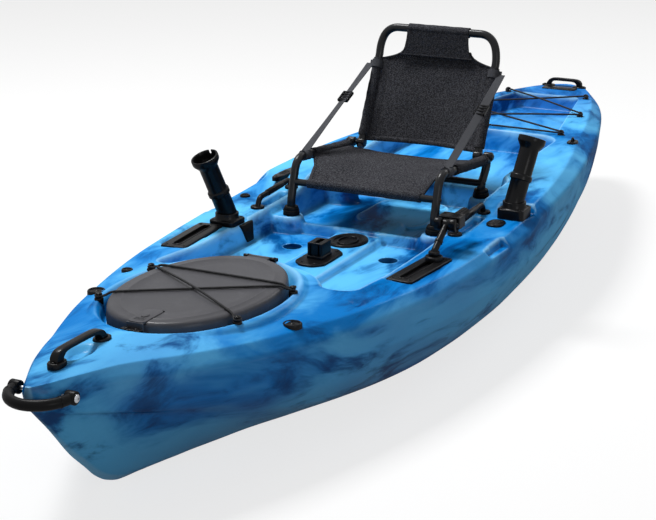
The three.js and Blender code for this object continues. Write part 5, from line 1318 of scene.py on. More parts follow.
        middle = np.stack([mean(place[b, k], place[a, k]) for k in range(3)], -1)
        length = np.linalg.norm(place[a] - place[b], axis=1)
        proud = -np.sum((middle - place) * normal, 1) / np.maximum(mean(length, length), 1e-6)
        for _ in range(2):
            proud = (proud + mean(proud[b], proud[a])) / 2
        # Painted shade: points round the scupper and drain bores get the darkest crease colour.
        for x, share, radius in self.scuppers:
            away = np.hypot(np.abs(place[:, 0]) - x * MILLIMETRE, place[:, 1] - self.shape.along(share) * MILLIMETRE)
            proud[away < (radius + 0.6) * MILLIMETRE] = -1.0
        rim = mesh.attributes.new("rim", "FLOAT", "POINT")
        rim.data.foreach_set("value", np.clip(0.5 + proud * self.rim_shading_gain, 0, 1).astype(np.float32))

    def drains(self) -> Form:
        """The black rings of the drains at the front of the footwell, and a dark disc below the seat that is painted
        shade standing for a drain hole.
        """
        s = self.shape
        ring = [(7, -12), (11, -12), (11, 0), (15, 0), (15.6, 1), (15, 2.2), (12, 2.6), (8, 1.6), (7, 0)]
        front = sheet_of(turned(ring, 32).points.reshape(len(ring), 32, 3), ring=True, loop=True)
        # Painted shade: a dark rubber disc in place of the dark of a drain hole below the seat.
        hole_shade_disc = turned([(0, -8), (14, -8), (14, 3), (13, 4.4), (10, 4.8), (8, 2.6), (0, 2.2)], 36)
        places = [point(side * self.drain_x, s.along(self.drain_share), s.floor - 2.4) for side in (-1, 1)]
        return join((*(front.moved(place) for place in places), hole_shade_disc.moved(point(-14, 68, s.floor + 4.6))))

    def build(self, shop: Workshop) -> None:
        """Makes the hull, its coaming and its drains."""
        hull = shop.mesh("hull_shell", self.shell(), (Look.HULL,))
        for tool in (self.bores(), self.hollow(), self.mouth()):
            shop.cut(hull, tool)
        count = sum(len(face.vertices) - 2 for face in hull.data.polygons)
        thin = hull.modifiers.new("thin", "DECIMATE")
        thin.ratio = min(1.0, self.most_faces / count)
        shop.settle(hull)
        shop.dress(hull, (Look.HULL,))
        shop.smooth(hull, 55)
        self.paint_rim_shading(hull)
        shop.rest(hull, "hull", (Look.HULL,), ("hull",))
        self.paint_rim_shading(shop.piece("hatch_coaming", self.coaming(), "hull", (Look.HULL,)))
        shop.piece("floor_drains", self.drains(), "hull", RUBBER)


# ---- Small shapes that several fittings share ----
def aimed(way: Array) -> Array:
    """The turn that takes +Z to a direction."""
    z = unit(np.asarray(way, float))
    x = unit(np.cross(ALONG if abs(z[1]) < 0.9 else ACROSS, z))
    return np.column_stack((x, np.cross(z, x), z))


def leaning(lean_x: float, lean_y: float) -> Array:
    """The turn for a piece drawn along +Z that leans by shares of its rise: about X first, then about Y."""
    b = math.atan(lean_x)
    a = -math.atan(lean_y * math.cos(b))
    about_x = np.array(((1, 0, 0), (0, math.cos(a), -math.sin(a)), (0, math.sin(a), math.cos(a))))
    about_y = np.array(((math.cos(b), 0, math.sin(b)), (0, 1, 0), (-math.sin(b), 0, math.cos(b))))
    return about_y @ about_x


def bar(start: Array, end: Array, radius: float, sides: int = 24, soft: float = 1.0) -> Form:
    """A straight round bar whose end edges are rounded by a few rings."""
    r, length = radius, float(np.linalg.norm(end - start))
    soft = min(soft, r / 2, length / 3)
    near = [(0.0, 0.0), (r - soft, 0.0), (r - soft * 0.3, soft * 0.3), (r, soft)]
    far = [(r, length - soft), (r - soft * 0.3, length - soft * 0.3), (r - soft, length), (0.0, length)]
    return turned(near + far, sides).placed(aimed(end - start), start)


def screw(place: Array, radius: float = 5.0, height: float = 2.4, way: Array = UP) -> Form:
    """A domed screw head with a round drive recess, in the second finish."""
    h, r = height, radius
    dome = [(r * 0.4, h), (r * 0.7, h * 0.9), (r * 0.94, h * 0.5), (r, 0)]
    form = turned([(0, h * 0.35), (r * 0.34, h * 0.35), *dome, (r, -h), (0, -h)], 20)
    return form.placed(aimed(way), place).dressed(SECOND)


def plate(outline: Outline, low: float, high: float, edge: float, place: Array, turn: float = 0.0) -> Form:
    """A plate with a rounded upper edge, its heights measured from a place."""
    return stack(outline, rounded(low, high, edge), turn).moved(place)


# ---- Hatch ----
@dataclass
class Hatch:
    """The oval front hatch: lid, hinge, latch, catch, hooks and shock cord."""

    hull: HullForm = field(default_factory=HullForm)
    cord: float = 3.0
    crossing_lift: float = 6.8
    pin_offset: float = 295.0
    pin_height: float = 350.0
    hook_places: dict = field(
        default_factory=lambda: {
            "front_left": (-186, -0.3395),
            "rear_right": (198, -0.2655),
            "rear_left": (-198, -0.2655),
            "front_right": (186, -0.3395),
        }
    )

    @property
    def front_y(self) -> float:
        """The lid's front end."""
        return self.hull.hatch_y - self.hull.lid_half_length

    @property
    def pin_y(self) -> float:
        """The hinge's pin."""
        return self.hull.hatch_y + self.pin_offset

    def pin(self, start: float, end: float, radius: float, sides: int = 24) -> Form:
        """A bar on the hinge's line, from one x to another."""
        return bar(point(start, self.pin_y, self.pin_height), point(end, self.pin_y, self.pin_height), radius, sides)

    def lid(self) -> Form:
        """The lid's shell: an oval carried over its rounded rim, a fine raised line and back underneath."""
        levels = [
            (359, -80), (359, -38), (359.9, -36.5), (359.9, -33.5), (359, -32), (359, -15), (358.6, -11.5),
            (357.2, -7.5), (354.6, -4), (350, -1.9), (344, -1), (330, -0.2), (323, 0), (318, -0.4), (316, -1.6),
            (316, -6.5), (317.5, -8), (340, -11), (352, -13.5), (354.6, -17), (355, -30), (355, -80),
        ]
        return stack(self.hull.lid_outline(144), levels).moved(point(0, self.hull.hatch_y, 0))

    def slot(self) -> Form:
        """The place for the latch in the lid's front."""
        return stack(box(22.8, 92.2, 9), [(353.6, 0), (380, 0)]).moved(point(0, self.front_y, 0))

    def lid_rest(self) -> Form:
        """The boss below the latch, and the hinge's web and barrel."""
        boss = stack(box(26, 44, 6), [(349.8, 0), (353.5, 0)]).moved(point(0, self.front_y + 52, 0))
        web = stack(box(30, 12, 3), [(347.6, 0), (352.4, 0)]).moved(point(0, self.pin_y - 12, 0))
        return join((boss, web, self.pin(-30, 30, 5)))

    def latch(self) -> Form:
        """A tongue with a rounded back, a hook over the lid's edge and an oval button."""
        y = self.front_y
        back = y + 92 - 3.1
        tongue = cornered([(-21.8, y - 4), (21.8, y - 4), (21.8, back), (-21.8, back)], 14, 9)
        top = stack(tongue, [(356, 0), (359.6, 0), (360.6, -0.4), (361, -1.4)])
        hook = stack(box(21.8, 2.5, 1.5), [(330, -1), (331, 0), (358.5, 0)]).moved(point(0, y - 4.1, 0))
        button = plate(oval(8.5, 12), -1, 2.2, 1.6, point(0, y + 40, 361))
        grooves = [bar(point(-13, y + k, 361), point(13, y + k, 361), 0.9, 10, 0.4) for k in (12, 17, 22)]
        return join((top, hook, button, *grooves))

    def catch(self) -> Form:
        """The block in front of the lid that the latch hooks on, with its two screws."""
        place = point(0, self.front_y - 11 - 8, self.hull.rim)
        body = plate(box(26, 8, 4), -20, 3.5, 2.0, place)
        return join((body, *(screw(place + (13 * side, 0, 3.5)) for side in (-1, 1))))

    def hinge(self) -> Form:
        """Two knuckles on feet behind the lid, and the pin through them."""
        parts = [self.pin(-44, 44, 2.5, 16)]
        for side in (-1, 1):
            foot = point(37.7 * side, self.pin_y + 9, 347.5)
            parts += [self.pin(30.8 * side, 44.6 * side, 5), plate(box(6.8, 9, 2), -24, 2.5, 1.5, foot)]
            parts.append(screw(foot + (0, 2, 2.5), 3.4, 1.6))
        return join(parts)

    def build(self, shop: Workshop) -> None:
        """Makes the hatch's pieces."""
        lid = (Look.LID,)
        shop.piece("lid_shell", self.lid(), "lid", lid, "hatch_lid", cuts=(self.slot(),), sharp=35)
        shop.piece("lid_hinge_web", self.lid_rest(), "lid", lid, edge=0.8)
        shop.piece("lid_latch", self.latch(), "latch", lid, "hatch_latch")
        shop.piece("hatch_catch", self.catch(), "hull", SCREWED, "latch_catch")
        shop.piece("hinge_knuckles", self.hinge(), "hull", SCREWED, "hatch_hinge")
        hooks = []
        for name, (x, share) in self.hook_places.items():
            hooks.append(point(x, self.hull.along(share), self.hull.rim))
            shop.piece(f"lid_hook_{name}", hook_form(hooks[-1]), "hull", SCREWED, f"hatch_hook_{name}")
        lifts = [self.over_lid(lift) for lift in (0, 0, self.crossing_lift)]
        cord = cord_form(cord_route(hooks, lifts), self.cord, 3)
        shop.piece("lid_shock_cord", cord, "lid", (Look.CORD,), "hatch_cord")

    def over_lid(self, lift: float) -> Callable[[Array, Array, float], list[Array]]:
        """The cord's way up over the lid's edge and down again, lifted in the middle where two runs cross."""
        top = self.hull.lid_top + self.cord + 1
        edge = self.hull.lid_top + self.cord / 2 + 1

        def places(start: Array, end: Array, rise: float) -> list[Array]:
            way = unit(end - start)
            near = [(start + way * 16, start[2] + rise), (start + way * 27, edge), (start + way * 46, top)]
            far = [(end - way * 46, top), (end - way * 27, edge), (end - way * 16, end[2] + rise)]
            return [point(*spot[:2], z) for spot, z in (*near, ((start + end) / 2, top + lift), *far)]

        return places


def hook_form(place: Array) -> Form:
    """A lashing hook: a low round foot, a post and a cap with a screw in it."""
    profile = [
        (0, -12), (11, -12), (11, 2), (10.4, 3.6), (9, 4.6), (7, 5), (4.6, 5.2), (4, 6), (4, 12.4), (4.6, 13),
        (7.4, 13), (8, 13.5), (8, 14.6), (7.2, 15.4), (5, 15.8), (0, 15.8),
    ]
    return join((turned(profile, 28).moved(place), screw(place + (0, 0, 15.8), 4.2, 1.2)))


def cord_route(hooks: Sequence[Array], between: Sequence[Callable | None]) -> Array:
    """A cord that goes round its hooks in turn on the outer side of each bend.

    Args:
        hooks: The hooks' places in order.
        between: What the cord passes between each hook and the next.

    Returns:
        The points of its middle.
    """
    radius, rise = 8.0, 9.0
    path: list[Array] = []
    for i, hook in enumerate(hooks):
        ahead = hooks[i + 1] - hook if i + 1 < len(hooks) else None
        back = hook - hooks[i - 1] if i else None
        out = math.atan2(ahead[1], ahead[0]) if ahead is not None else math.atan2(back[1], back[0]) + math.pi * 1.2
        into = math.atan2(back[1], back[0]) if back is not None else out - math.pi * 1.2
        turn = out - into
        if ahead is not None and back is not None:
            turn = math.atan2(math.sin(turn), math.cos(turn))
        angle = into + turn * np.linspace(0, 1, 9) - math.copysign(math.pi / 2, turn)
        path += list(hook + np.column_stack((np.cos(angle) * radius, np.sin(angle) * radius, np.full(9, rise))))
        if ahead is not None and between[i]:
            path += between[i](hook, hooks[i + 1], rise)
    return np.array(path)


def smoothed(path: Array, rounds: int) -> Array:
    """A path with its corners cut: each round puts two points a quarter from the ends of every step."""
    for _ in range(rounds):
        first, last = path[:1], path[-1:]
        a, b = path[:-1], path[1:]
        path = np.concatenate((first, np.stack((a * 0.75 + b * 0.25, a * 0.25 + b * 0.75), 1).reshape(-1, 3), last))
        keep = np.concatenate(([True], np.linalg.norm(np.diff(path, axis=0), axis=1) > 0.4))
        path = path[keep]
    return path


def cord_form(route: Array, radius: float, rounds: int) -> Form:
    """A round cord along a smoothed route, with a crimped ferrule on each end."""
    parts = [tube(smoothed(route, rounds), radius, UP, 12, 0.8)]
    for end, near in ((route[0], route[1]), (route[-1], route[-2])):
        way = unit(near - end)
        parts.append(bar(end - way * 2, end + way * 7, radius * 1.35, 16, 0.8))
    return join(parts)


# ---- Bow ----
def carry_handle(length: float) -> Form:
    """A bridge handle on two oval feet, drawn along Y.

    The bar is a smooth side profile given a width; the feet are oval plates with a screw each.

    Args:
        length: The distance between its feet.

    Returns:
        The handle.
    """
    rise, half_width = 30, 10
    outer = (
        (-0.08, 0), (-0.07, 0.5), (0, 0.86), (0.14, 1), (0.5, 1.02), (0.82, 1), (0.97, 0.78), (1.05, 0.3), (1.08, 0),
    )
    inner = ((0.93, 0), (0.9, 0.35), (0.8, 0.64), (0.5, 0.68), (0.2, 0.66), (0.1, 0.45), (0.07, 0))
    curves = [
        curve_through([point((a - 0.5) * length, b * rise, 0) for a, b in table], 4)[:, :2] for table in (outer, inner)
    ]
    levels = ((-1.0, 1.8), (-0.86, 0.5), (-0.5, 0.0), (0.5, 0.0), (0.86, 0.5), (1.0, 1.8))
    parts = [slab(np.concatenate(curves), [(share * half_width, inset) for share, inset in levels])]
    for end in (-1, 1):
        y = end * length / 2
        parts += [plate(oval(17, 24, 2.4), -8, 5, 3, point(0, y, 0)), screw(point(0, y + end * 14, 5))]
    return join(parts)


@dataclass
class Bow:
    """The bow's carry handle and its swinging grab handle."""

    hull: HullForm = field(default_factory=HullForm)
    pivot_share: float = -0.4836
    pivot_height: float = 317.0
    half_width: float = 70.0
    reach: float = 76.0
    radius: float = 12.0
    handle_shares: tuple = (-0.4681, -0.4182)
    collar_share: float = 0.14

    def pivot(self, x: float) -> Array:
        """A place on the bolts' line."""
        return point(x, self.hull.along(self.pivot_share), self.pivot_height)

    def grab(self) -> Form:
        """A rubber bar on half an ellipse, a little thicker in the middle, with two eyes and two collars."""
        angle = np.linspace(0, math.pi, 61)
        path = self.pivot(0) + point(-np.cos(angle) * self.half_width, -np.sin(angle) * self.reach, 0)
        swell = self.radius * (1 + 0.04 * np.exp(-(((angle - math.pi / 2) / 0.9) ** 2)))
        parts = [tube(path, swell, UP, 28)]
        step = int(60 * self.collar_share)
        for side, spot in ((-1, step), (1, 60 - step)):
            near = self.pivot(side * (self.half_width - self.radius))
            parts.append(bar(near, near + (side * 2 * self.radius, 0, 0), 15, 32, 2))
            way = unit(path[spot + 1] - path[spot - 1])
            parts.append(bar(path[spot] - way * 3, path[spot] + way * 3, self.radius + 1, 28, 1.2))
        return join(parts)

    def bolts(self, side: int) -> Form:
        """A steel bolt with a domed head."""
        outer = self.half_width + self.radius + 0.3
        shank = bar(self.pivot(side * (self.half_width - 42)), self.pivot(side * (outer + 2)), 4.8, 20)
        head = turned([(0, 2.4), (2.6, 2.4), (3, 4.2), (6, 4), (8.2, 3), (9, 1.4), (9, 0), (0, 0)], 28)
        return join((shank, head.placed(aimed(side * ACROSS), self.pivot(side * outer))))

    def build(self, shop: Workshop) -> None:
        """Makes the bow's pieces."""
        front, rear = self.handle_shares
        handle = carry_handle(self.hull.along(rear - front)).moved(self.hull.spot(0, (front + rear) / 2))
        shop.piece("bow_carry_handle", handle, "hull", SCREWED, "bow_handle")
        shop.piece("bow_grab_bar", self.grab(), "bow_grab", RUBBER, "bow_grab_handle")
        for side, hand in HANDS:
            shop.piece(f"bow_bolt_{hand}", self.bolts(side), "hull", (Look.STEEL,), f"bow_grab_bolt_{hand}")


# ---- Deck fittings ----
@dataclass
class DeckFittings:
    """Plugs, tracks, side handles, cover and plates along the deck."""

    hull: HullForm = field(default_factory=HullForm)

    def plug(self, place: Array, radius: float) -> Form:
        """A screwed hull plug: a dished disc with a ribbed rim and a bright screw."""
        r = radius
        profile = [
            (0, -6), (r, -6), (r, 2.6), (r - 0.8, 4.6), (r - 2.4, 6), (r - 4.6, 6), (r - 5.6, 5), (r - 6.2, 3.4),
            (r * 0.42, 3.8), (r * 0.36, 4.6), (0, 4.8),
        ]
        return join((turned(profile, 40).moved(place), screw(place + (0, 0, 4.4), r * 0.24, 1.8)))

    def track(self, side: int) -> tuple[Form, Form, Form]:
        """A track's plate, the slot that is cut from it, and its raised rim with the screws."""
        h = self.hull
        place, turn = point(side * h.track_offset, h.track_y, h.track_level - 3.7), -side * h.track_turn
        body = plate(box(36, h.track_half, 9), 0, 8, 2.4, place, turn)
        slot = stack(box(10.6, 96, 10), [(0.8, 0), (20, 0)], turn).moved(place)
        levels = [(6, 0), (8.9, 0), (9.5, -0.6), (9.5, -2.2), (8.9, -2.8), (6, -2.8)]
        rim = sheet_of(rings(box(13.6, 99, 12), levels, turn), ring=True, loop=True).moved(place)
        c, s = math.cos(turn), math.sin(turn)
        corners = [(x, y) for y in (-102, 102) for x in (-25, 25)]
        screws = [screw(place + (x * c - y * s, x * s + y * c, 8), 5, 1.6) for x, y in corners]
        return body, slot, join((rim, *screws))

    def side_handle(self, side: int) -> Form:
        """A bar that rises from two round pads and runs along the grip pocket."""
        front, rear = (self.hull.spot(side * self.hull.grip_offset, share) for share in (-0.0455, 0.017))
        path = bent([front, front + (0, 13, 27), rear + (0, -13, 27), rear], [14, 14], 8)
        span, middle = unit(path[-9] - path[8]), (path[8] + path[-9]) / 2
        parts = [tube(path, 8, ACROSS, 24), bar(middle - span * 46, middle + span * 46, 9.6, 28, 1.5)]
        for end in (front, rear):
            parts += [plate(oval(20, 20), -10, 6, 3, end), screw(end + (side * 12.5, 0, 6), 4, 1.4)]
        return join(parts)

    def cover(self) -> Form:
        """The long oval cover on the -X side, with five ribs and two screws."""
        place = self.hull.spot(-362, 0.036)
        body = plate(oval(16, 68, 3), -6, 7, 3.2, place)
        ribs = [plate(box(10, 1.6, 1), 0, 8, 0.7, place + (0, k, 0)) for k in (-18, -9, 0, 9, 18)]
        return join((body, *ribs, *(screw(place + (0, k, 7), 4.4, 1.6) for k in (-54, 54))))

    def rib_plate(self) -> Form:
        """The small ribbed plate beside the mount."""
        place = self.hull.spot(372, -0.0045)
        ribs = [plate(box(16, 2, 1.2), 0, 6.2, 1, place + (0, k, 0)) for k in (-16, -8, 0, 8, 16)]
        return join((plate(oval(24, 32, 2.6), -6, 5, 2.4, place), *ribs))

    def pad_eye(self, side: int) -> Form:
        """A lashing eye: an oval foot with two screws and a wire loop across."""
        place = self.hull.spot(side * 318, 0.2345)
        angle = np.linspace(0, math.pi, 17)
        loop = tube(place + point(0, np.cos(angle) * 9, 4 + np.sin(angle) * 11), 3, ACROSS, 16)
        screws = [screw(place + (0, k, 5), 4, 1.5) for k in (-18, 18)]
        return join((plate(oval(16, 26, 2.4), -5, 5, 2.4, place), loop, *screws))

    def build(self, shop: Workshop) -> None:
        """Makes the deck's fittings."""
        for name, node, x, share, radius in (
            ("hull_plug_left", "deck_plug_left", -268, -0.3066, 23),
            ("hull_plug_right", "deck_plug_right", 268, -0.3066, 23),
            ("little_plug_front", "small_plug_front", -298, -0.2525, 15),
            ("little_plug_rear", "small_plug_rear", -396, -0.0191, 15),
        ):
            shop.piece(name, self.plug(self.hull.spot(x, share), radius), "hull", SCREWED, node)
        for side, hand in HANDS:
            body, slot, trim = self.track(side)
            shop.piece(f"deck_track_{hand}", body, "hull", PLAIN, f"track_{hand}", cuts=(slot,), sharp=35)
            shop.piece(f"track_trim_{hand}", trim, "hull", SCREWED)
            shop.piece(f"side_grip_{hand}", self.side_handle(side), "hull", SCREWED, f"side_handle_{hand}")
            shop.piece(f"lashing_eye_{hand}", self.pad_eye(side), "hull", SCREWED, f"pad_eye_{hand}")
        shop.piece("deck_long_cover", self.cover(), "hull", SCREWED, "deck_cover_left")
        shop.piece("deck_rib_plate", self.rib_plate(), "hull", SCREWED, "rib_plate_right")


@dataclass
class Mount:
    """The sliding accessory mount: carriage, leaning post, clamp head and knob."""

    hull: HullForm = field(default_factory=HullForm)
    post_length: float = 96.0
    lean: float = 1.48
    travel: float = 79.7

    def build(self, shop: Workshop) -> None:
        """Makes the mount's four moving pieces."""
        h = self.hull
        top = h.track_level + 4.3
        foot = point(h.track_offset + math.tan(h.track_turn) * self.travel, h.track_y + self.travel, 0)
        base = stack(oval(24, 24), rounded(top + 0.3, top + 12.3, 4)).moved(foot)
        key = stack(box(8.4, 18, 3), [(top - 4.4, 0), (top + 1, 0)], -h.track_turn).moved(foot)
        shop.piece("mount_slide_base", join((base, key)), "carriage", PLAIN, "mount_carriage")
        low = foot + UP * (top + 12.6)
        knee = low + UP * 10
        rise = self.post_length / math.hypot(1, self.lean)
        head = knee + (0, rise * self.lean, rise)
        way = unit(head - knee)
        arm = (
            bar(low, knee + UP * 2, 15, 36, 3),
            tube(bent([low + UP * 4, knee, head], [5], 7), 9, ACROSS, 24),
            bar(head - 9.5 * ACROSS, head + 9.5 * ACROSS, 13, 36, 1.5),
            bar(knee + way * 30, knee + way * 40, 10.8, 28, 1.5),
        )
        shop.piece("mount_arm", join(arm), "post", SCREWED, "mount_post")
        shop.piece("mount_clamp", self.clamp(head), "head", SCREWED, "mount_head")
        shop.piece("mount_toothed_knob", self.knob(head + 58.3 * ALONG), "knob", RUBBER, "mount_knob")

    def clamp(self, head: Array) -> Form:
        """Two cheeks beside the post's eye, joined behind it by a rounded block."""
        soft = softened([(-17, -8), (-17, 11), (-9, 17), (58, 17), (58, -17), (-9, -17)], 5, 5)
        flat = soft[soft[:, 0] < 40] + head[1:]
        levels = ((10.2, 0.6), (11, 0), (28, 0), (29.4, 0.6), (30, 2.0))
        parts = [slab(flat, [(head[0] + side * out, inset) for out, inset in levels]) for side in (-1, 1)]
        parts.append(stack(box(30, 21.5, 4), [(-17, -2), (-15, 0), (15, 0), (17, -2)]).moved(head + (0, 36.5, 0)))
        parts += [bar(head + (-20, k, 17), head + (20, k, 17), 1.2, 10, 0.4) for k in (24, 32, 40, 48)]
        parts += [screw(head + 30 * side * ACROSS, 7, 2.4, side * ACROSS) for side in (-1, 1)]
        return join(parts)

    def knob(self, start: Array) -> Form:
        """A grip whose radius rises and falls twelve times round, on a short stem."""
        angle = np.arange(96) / 96 * 2 * math.pi
        tooth = 1 - 0.06 * (1 + np.tanh(3 * np.cos(angle * 12)))
        levels = ((8, 0.86), (9.5, 0.97), (11, 1), (71, 1), (72.8, 0.95), (74, 0.8))
        x, y = np.cos(angle) * 14 * tooth, np.sin(angle) * 14 * tooth
        grid = np.array([point(x * k, y * k, z) for z, k in levels])
        grip = sheet_of(grid, ring=True, caps=True).placed(aimed(ALONG), start)
        return join((bar(start, start + 20 * ALONG, 6), grip))


@dataclass
class RodHolder:
    """One rod holder: a square foot with a round socket, and the tube that turns in it."""

    name: str
    x: float
    y: float
    lean: tuple
    hull: HullForm = field(default_factory=HullForm)

    @property
    def base(self) -> Array:
        """The place that the foot stands on."""
        ends = (self.y + end * self.hull.holder_half for end in (-1, 1))
        return point(self.x, self.y, max(self.hull.level(self.x, y) for y in ends))

    def foot(self) -> Form:
        """The flange with four screws, and the collar."""
        place, half = self.base, self.hull.holder_half
        flange = plate(box(half, half, 14), -24, 8, 3, place)
        ring = [
            (12.7, 12), (12.7, 26), (31.5, 26), (32.6, 25.3), (33, 24), (33, 13), (34.5, 10), (38, 8), (20, 4),
            (12.7, 12),
        ]
        collar = turned(ring, 56).moved(place)
        floor = bar(place + 6 * UP, place + 11.6 * UP, 14, 40, 0.5)
        screws = [screw(place + (x, y, 8), 4.6, 1.8) for x in (-29, 29) for y in (-29, 29)]
        return join((flange, collar, floor, *screws))

    def tube(self) -> Form:
        """The tube's wall turned about its own axis: plain below, a collar at a third and a wide mouth."""
        profile = [
            (0, -27), (27, -27), (27, 58), (28.6, 60), (31, 62), (31, 72), (30.4, 74), (27.4, 76.5), (27, 79),
            (27, 148), (28, 152), (33, 160), (37.6, 166.5), (39, 170), (39, 181), (38.4, 183.2), (36.6, 184),
            (34.4, 183.4), (33, 181), (32.8, 170), (28, 158), (24.6, 151), (23.8, 147), (23.8, 37), (0, 37),
        ]
        return turned(profile, 64)

    def build(self, shop: Workshop) -> None:
        """Makes the foot, the tube with the notch in its mouth, and the pin that it turns on."""
        top, body = self.base + 26 * UP, f"rod_tube_{self.name}"
        shop.piece(f"rod_foot_{self.name}", self.foot(), "hull", SCREWED, f"rod_holder_base_{self.name}")
        turn = leaning(*self.lean)
        notch = stack(box(4.5, 24, 2), [(171, 0), (230, 0)]).moved(42 * ALONG).placed(turn, top)
        below = stack(oval(90, 90), [(-200, 0), (0.3, 0)]).moved(top)
        shell, node = self.tube().placed(turn, top), f"rod_holder_tube_{self.name}"
        shop.piece(f"rod_tube_shell_{self.name}", shell, body, PLAIN, node, cuts=(notch, below))
        shop.piece(f"rod_pin_{self.name}", bar(top - 13 * UP, top + 8 * UP, 12, 32), body, PLAIN)


# ---- Cockpit fittings and stern ----
@dataclass
class Cockpit:
    """The fittings on the console and on the cockpit's wall."""

    hull: HullForm = field(default_factory=HullForm)

    def accessory(self) -> Form:
        """A long eight-cornered plate with a socket tower, its slot lined by four walls."""
        place = point(0, self.hull.along(-0.1085), self.hull.console_top + 0.3)
        w, l, c = 44, 84, 26
        half = [(w - c, -l), (w, -l + c), (w, l - c), (w - c, l)]
        corners = [(-w + c, -l), *half, (-w + c, l), (-w, l - c), (-w, -l + c)]
        parts = [plate(cornered(corners, 9), 0, 6, 2.4, place)]
        for k in (1, -1):
            parts.append(plate(box(7.4, 28, 3), 4, 50, 3, place + (14.6 * k, 0, 0)))
            parts.append(plate(box(16, 3, 1.5), 4, 50, 1.4, place + (0, 25 * k, 0)))
        parts += [plate(box(16, 24, 2), 4, 31.5, 0.5, place), plate(box(24, 30, 5), 4, 14, 2.5, place)]
        return join((*parts, *(screw(place + (x, y, 6), 5, 2) for x in (-20, 20) for y in (-66, 66))))

    def bezel(self) -> Form:
        """An oval holder ring with stepped walls round a low floor."""
        y = self.hull.along(self.hull.bulkhead_share) - self.hull.bulkhead_half - 66 - 3
        place = point(0, y, self.hull.console_top + 0.3)
        levels = [
            (0, 0), (3, 0), (5, -1), (6, -3), (6, -7.5), (5.2, -8.4), (5.2, -10.5), (4.4, -11.2), (4.4, -13),
            (3, -14.2), (1.2, -16), (1.0, -25), (4.4, -26), (5, -27), (5, -29), (4.2, -30.2), (0.8, -31), (0.8, -50),
        ]
        return stack(oval(54, 66, count=96), levels).moved(place)

    def wall_pad(self) -> Form:
        """The tapered grip pad on the -X wall, drawn in at its lower and upper edge."""
        y = self.hull.along(-0.0815)
        rows = []
        for share, half, inset in ((0.0, 18.7, 2), (0.06, 19.5, 0), (0.5, 26, 0), (0.94, 33.2, 0), (1.0, 34, 2)):
            back = -281 + (1 - share) * 11
            outline = [(0, half), (10 - inset, half - 2), (11 - inset, half - 6)]
            line = [(out, -b) for out, b in outline] + outline[::-1]
            rows.append([(back + out, y + b, 245 + share * 51) for out, b in line])
        return sheet_of(np.array(rows, float), ring=True, caps=True)

    def build(self, shop: Workshop) -> None:
        """Makes the cockpit's fittings."""
        shop.piece("socket_tower", self.accessory(), "hull", SCREWED, "accessory_plate")
        shop.piece("oval_bezel", self.bezel(), "hull", PLAIN, "console_bezel")
        shop.piece("wall_grip_pad", self.wall_pad(), "hull", RUBBER, "wall_pad_left", edge=1.2)


@dataclass
class Stern:
    """The stern's handle, plate, lashing hooks and shock cord."""

    hull: HullForm = field(default_factory=HullForm)
    cord: float = 3.0
    crossing_lift: float = 6.8
    hook_shares: tuple = (("front", 0.257, 0.555), ("middle", 0.342, 0.485), ("rear", 0.4275, 0.32))

    def build(self, shop: Workshop) -> None:
        """Makes the stern's pieces."""
        h = self.hull
        handle = carry_handle(118).placed(np.column_stack((ALONG, -ACROSS, UP)), h.spot(0, 0.4835))
        shop.piece("stern_carry_handle", handle, "hull", SCREWED, "stern_handle")
        flat = plate(box(62, 22, 11), -4, 4, 2.2, h.spot(0, 0.4685))
        shop.piece("stern_deck_plate", flat, "hull", PLAIN, "stern_plate")
        left, right = [], []
        for hooks, (side, hand) in zip((left, right), HANDS):
            for name, share, out in self.hook_shares:
                hooks.append(h.spot(side * out * h.half_beam, share))
                node = f"stern_hook_{hand}_{name}"
                shop.piece(f"lashing_hook_{hand}_{name}", hook_form(hooks[-1]), "hull", SCREWED, node)
        order = [right[2], left[1], right[0], left[0], right[1], left[2]]
        lifts = [self.over_well(lift) for lift in (0, 0, 0, self.crossing_lift, self.crossing_lift)]
        cord = cord_form(cord_route(order, lifts), self.cord, 2)
        shop.piece("stern_shock_cord", cord, "hull", (Look.CORD,), "stern_bungee")

    def over_well(self, lift: float) -> Callable[[Array, Array, float], list[Array]]:
        """The cord's middle between two hooks, lifted where two runs cross."""
        return lambda start, end, rise: [(start + end) / 2 + (0, 0, rise + lift)]


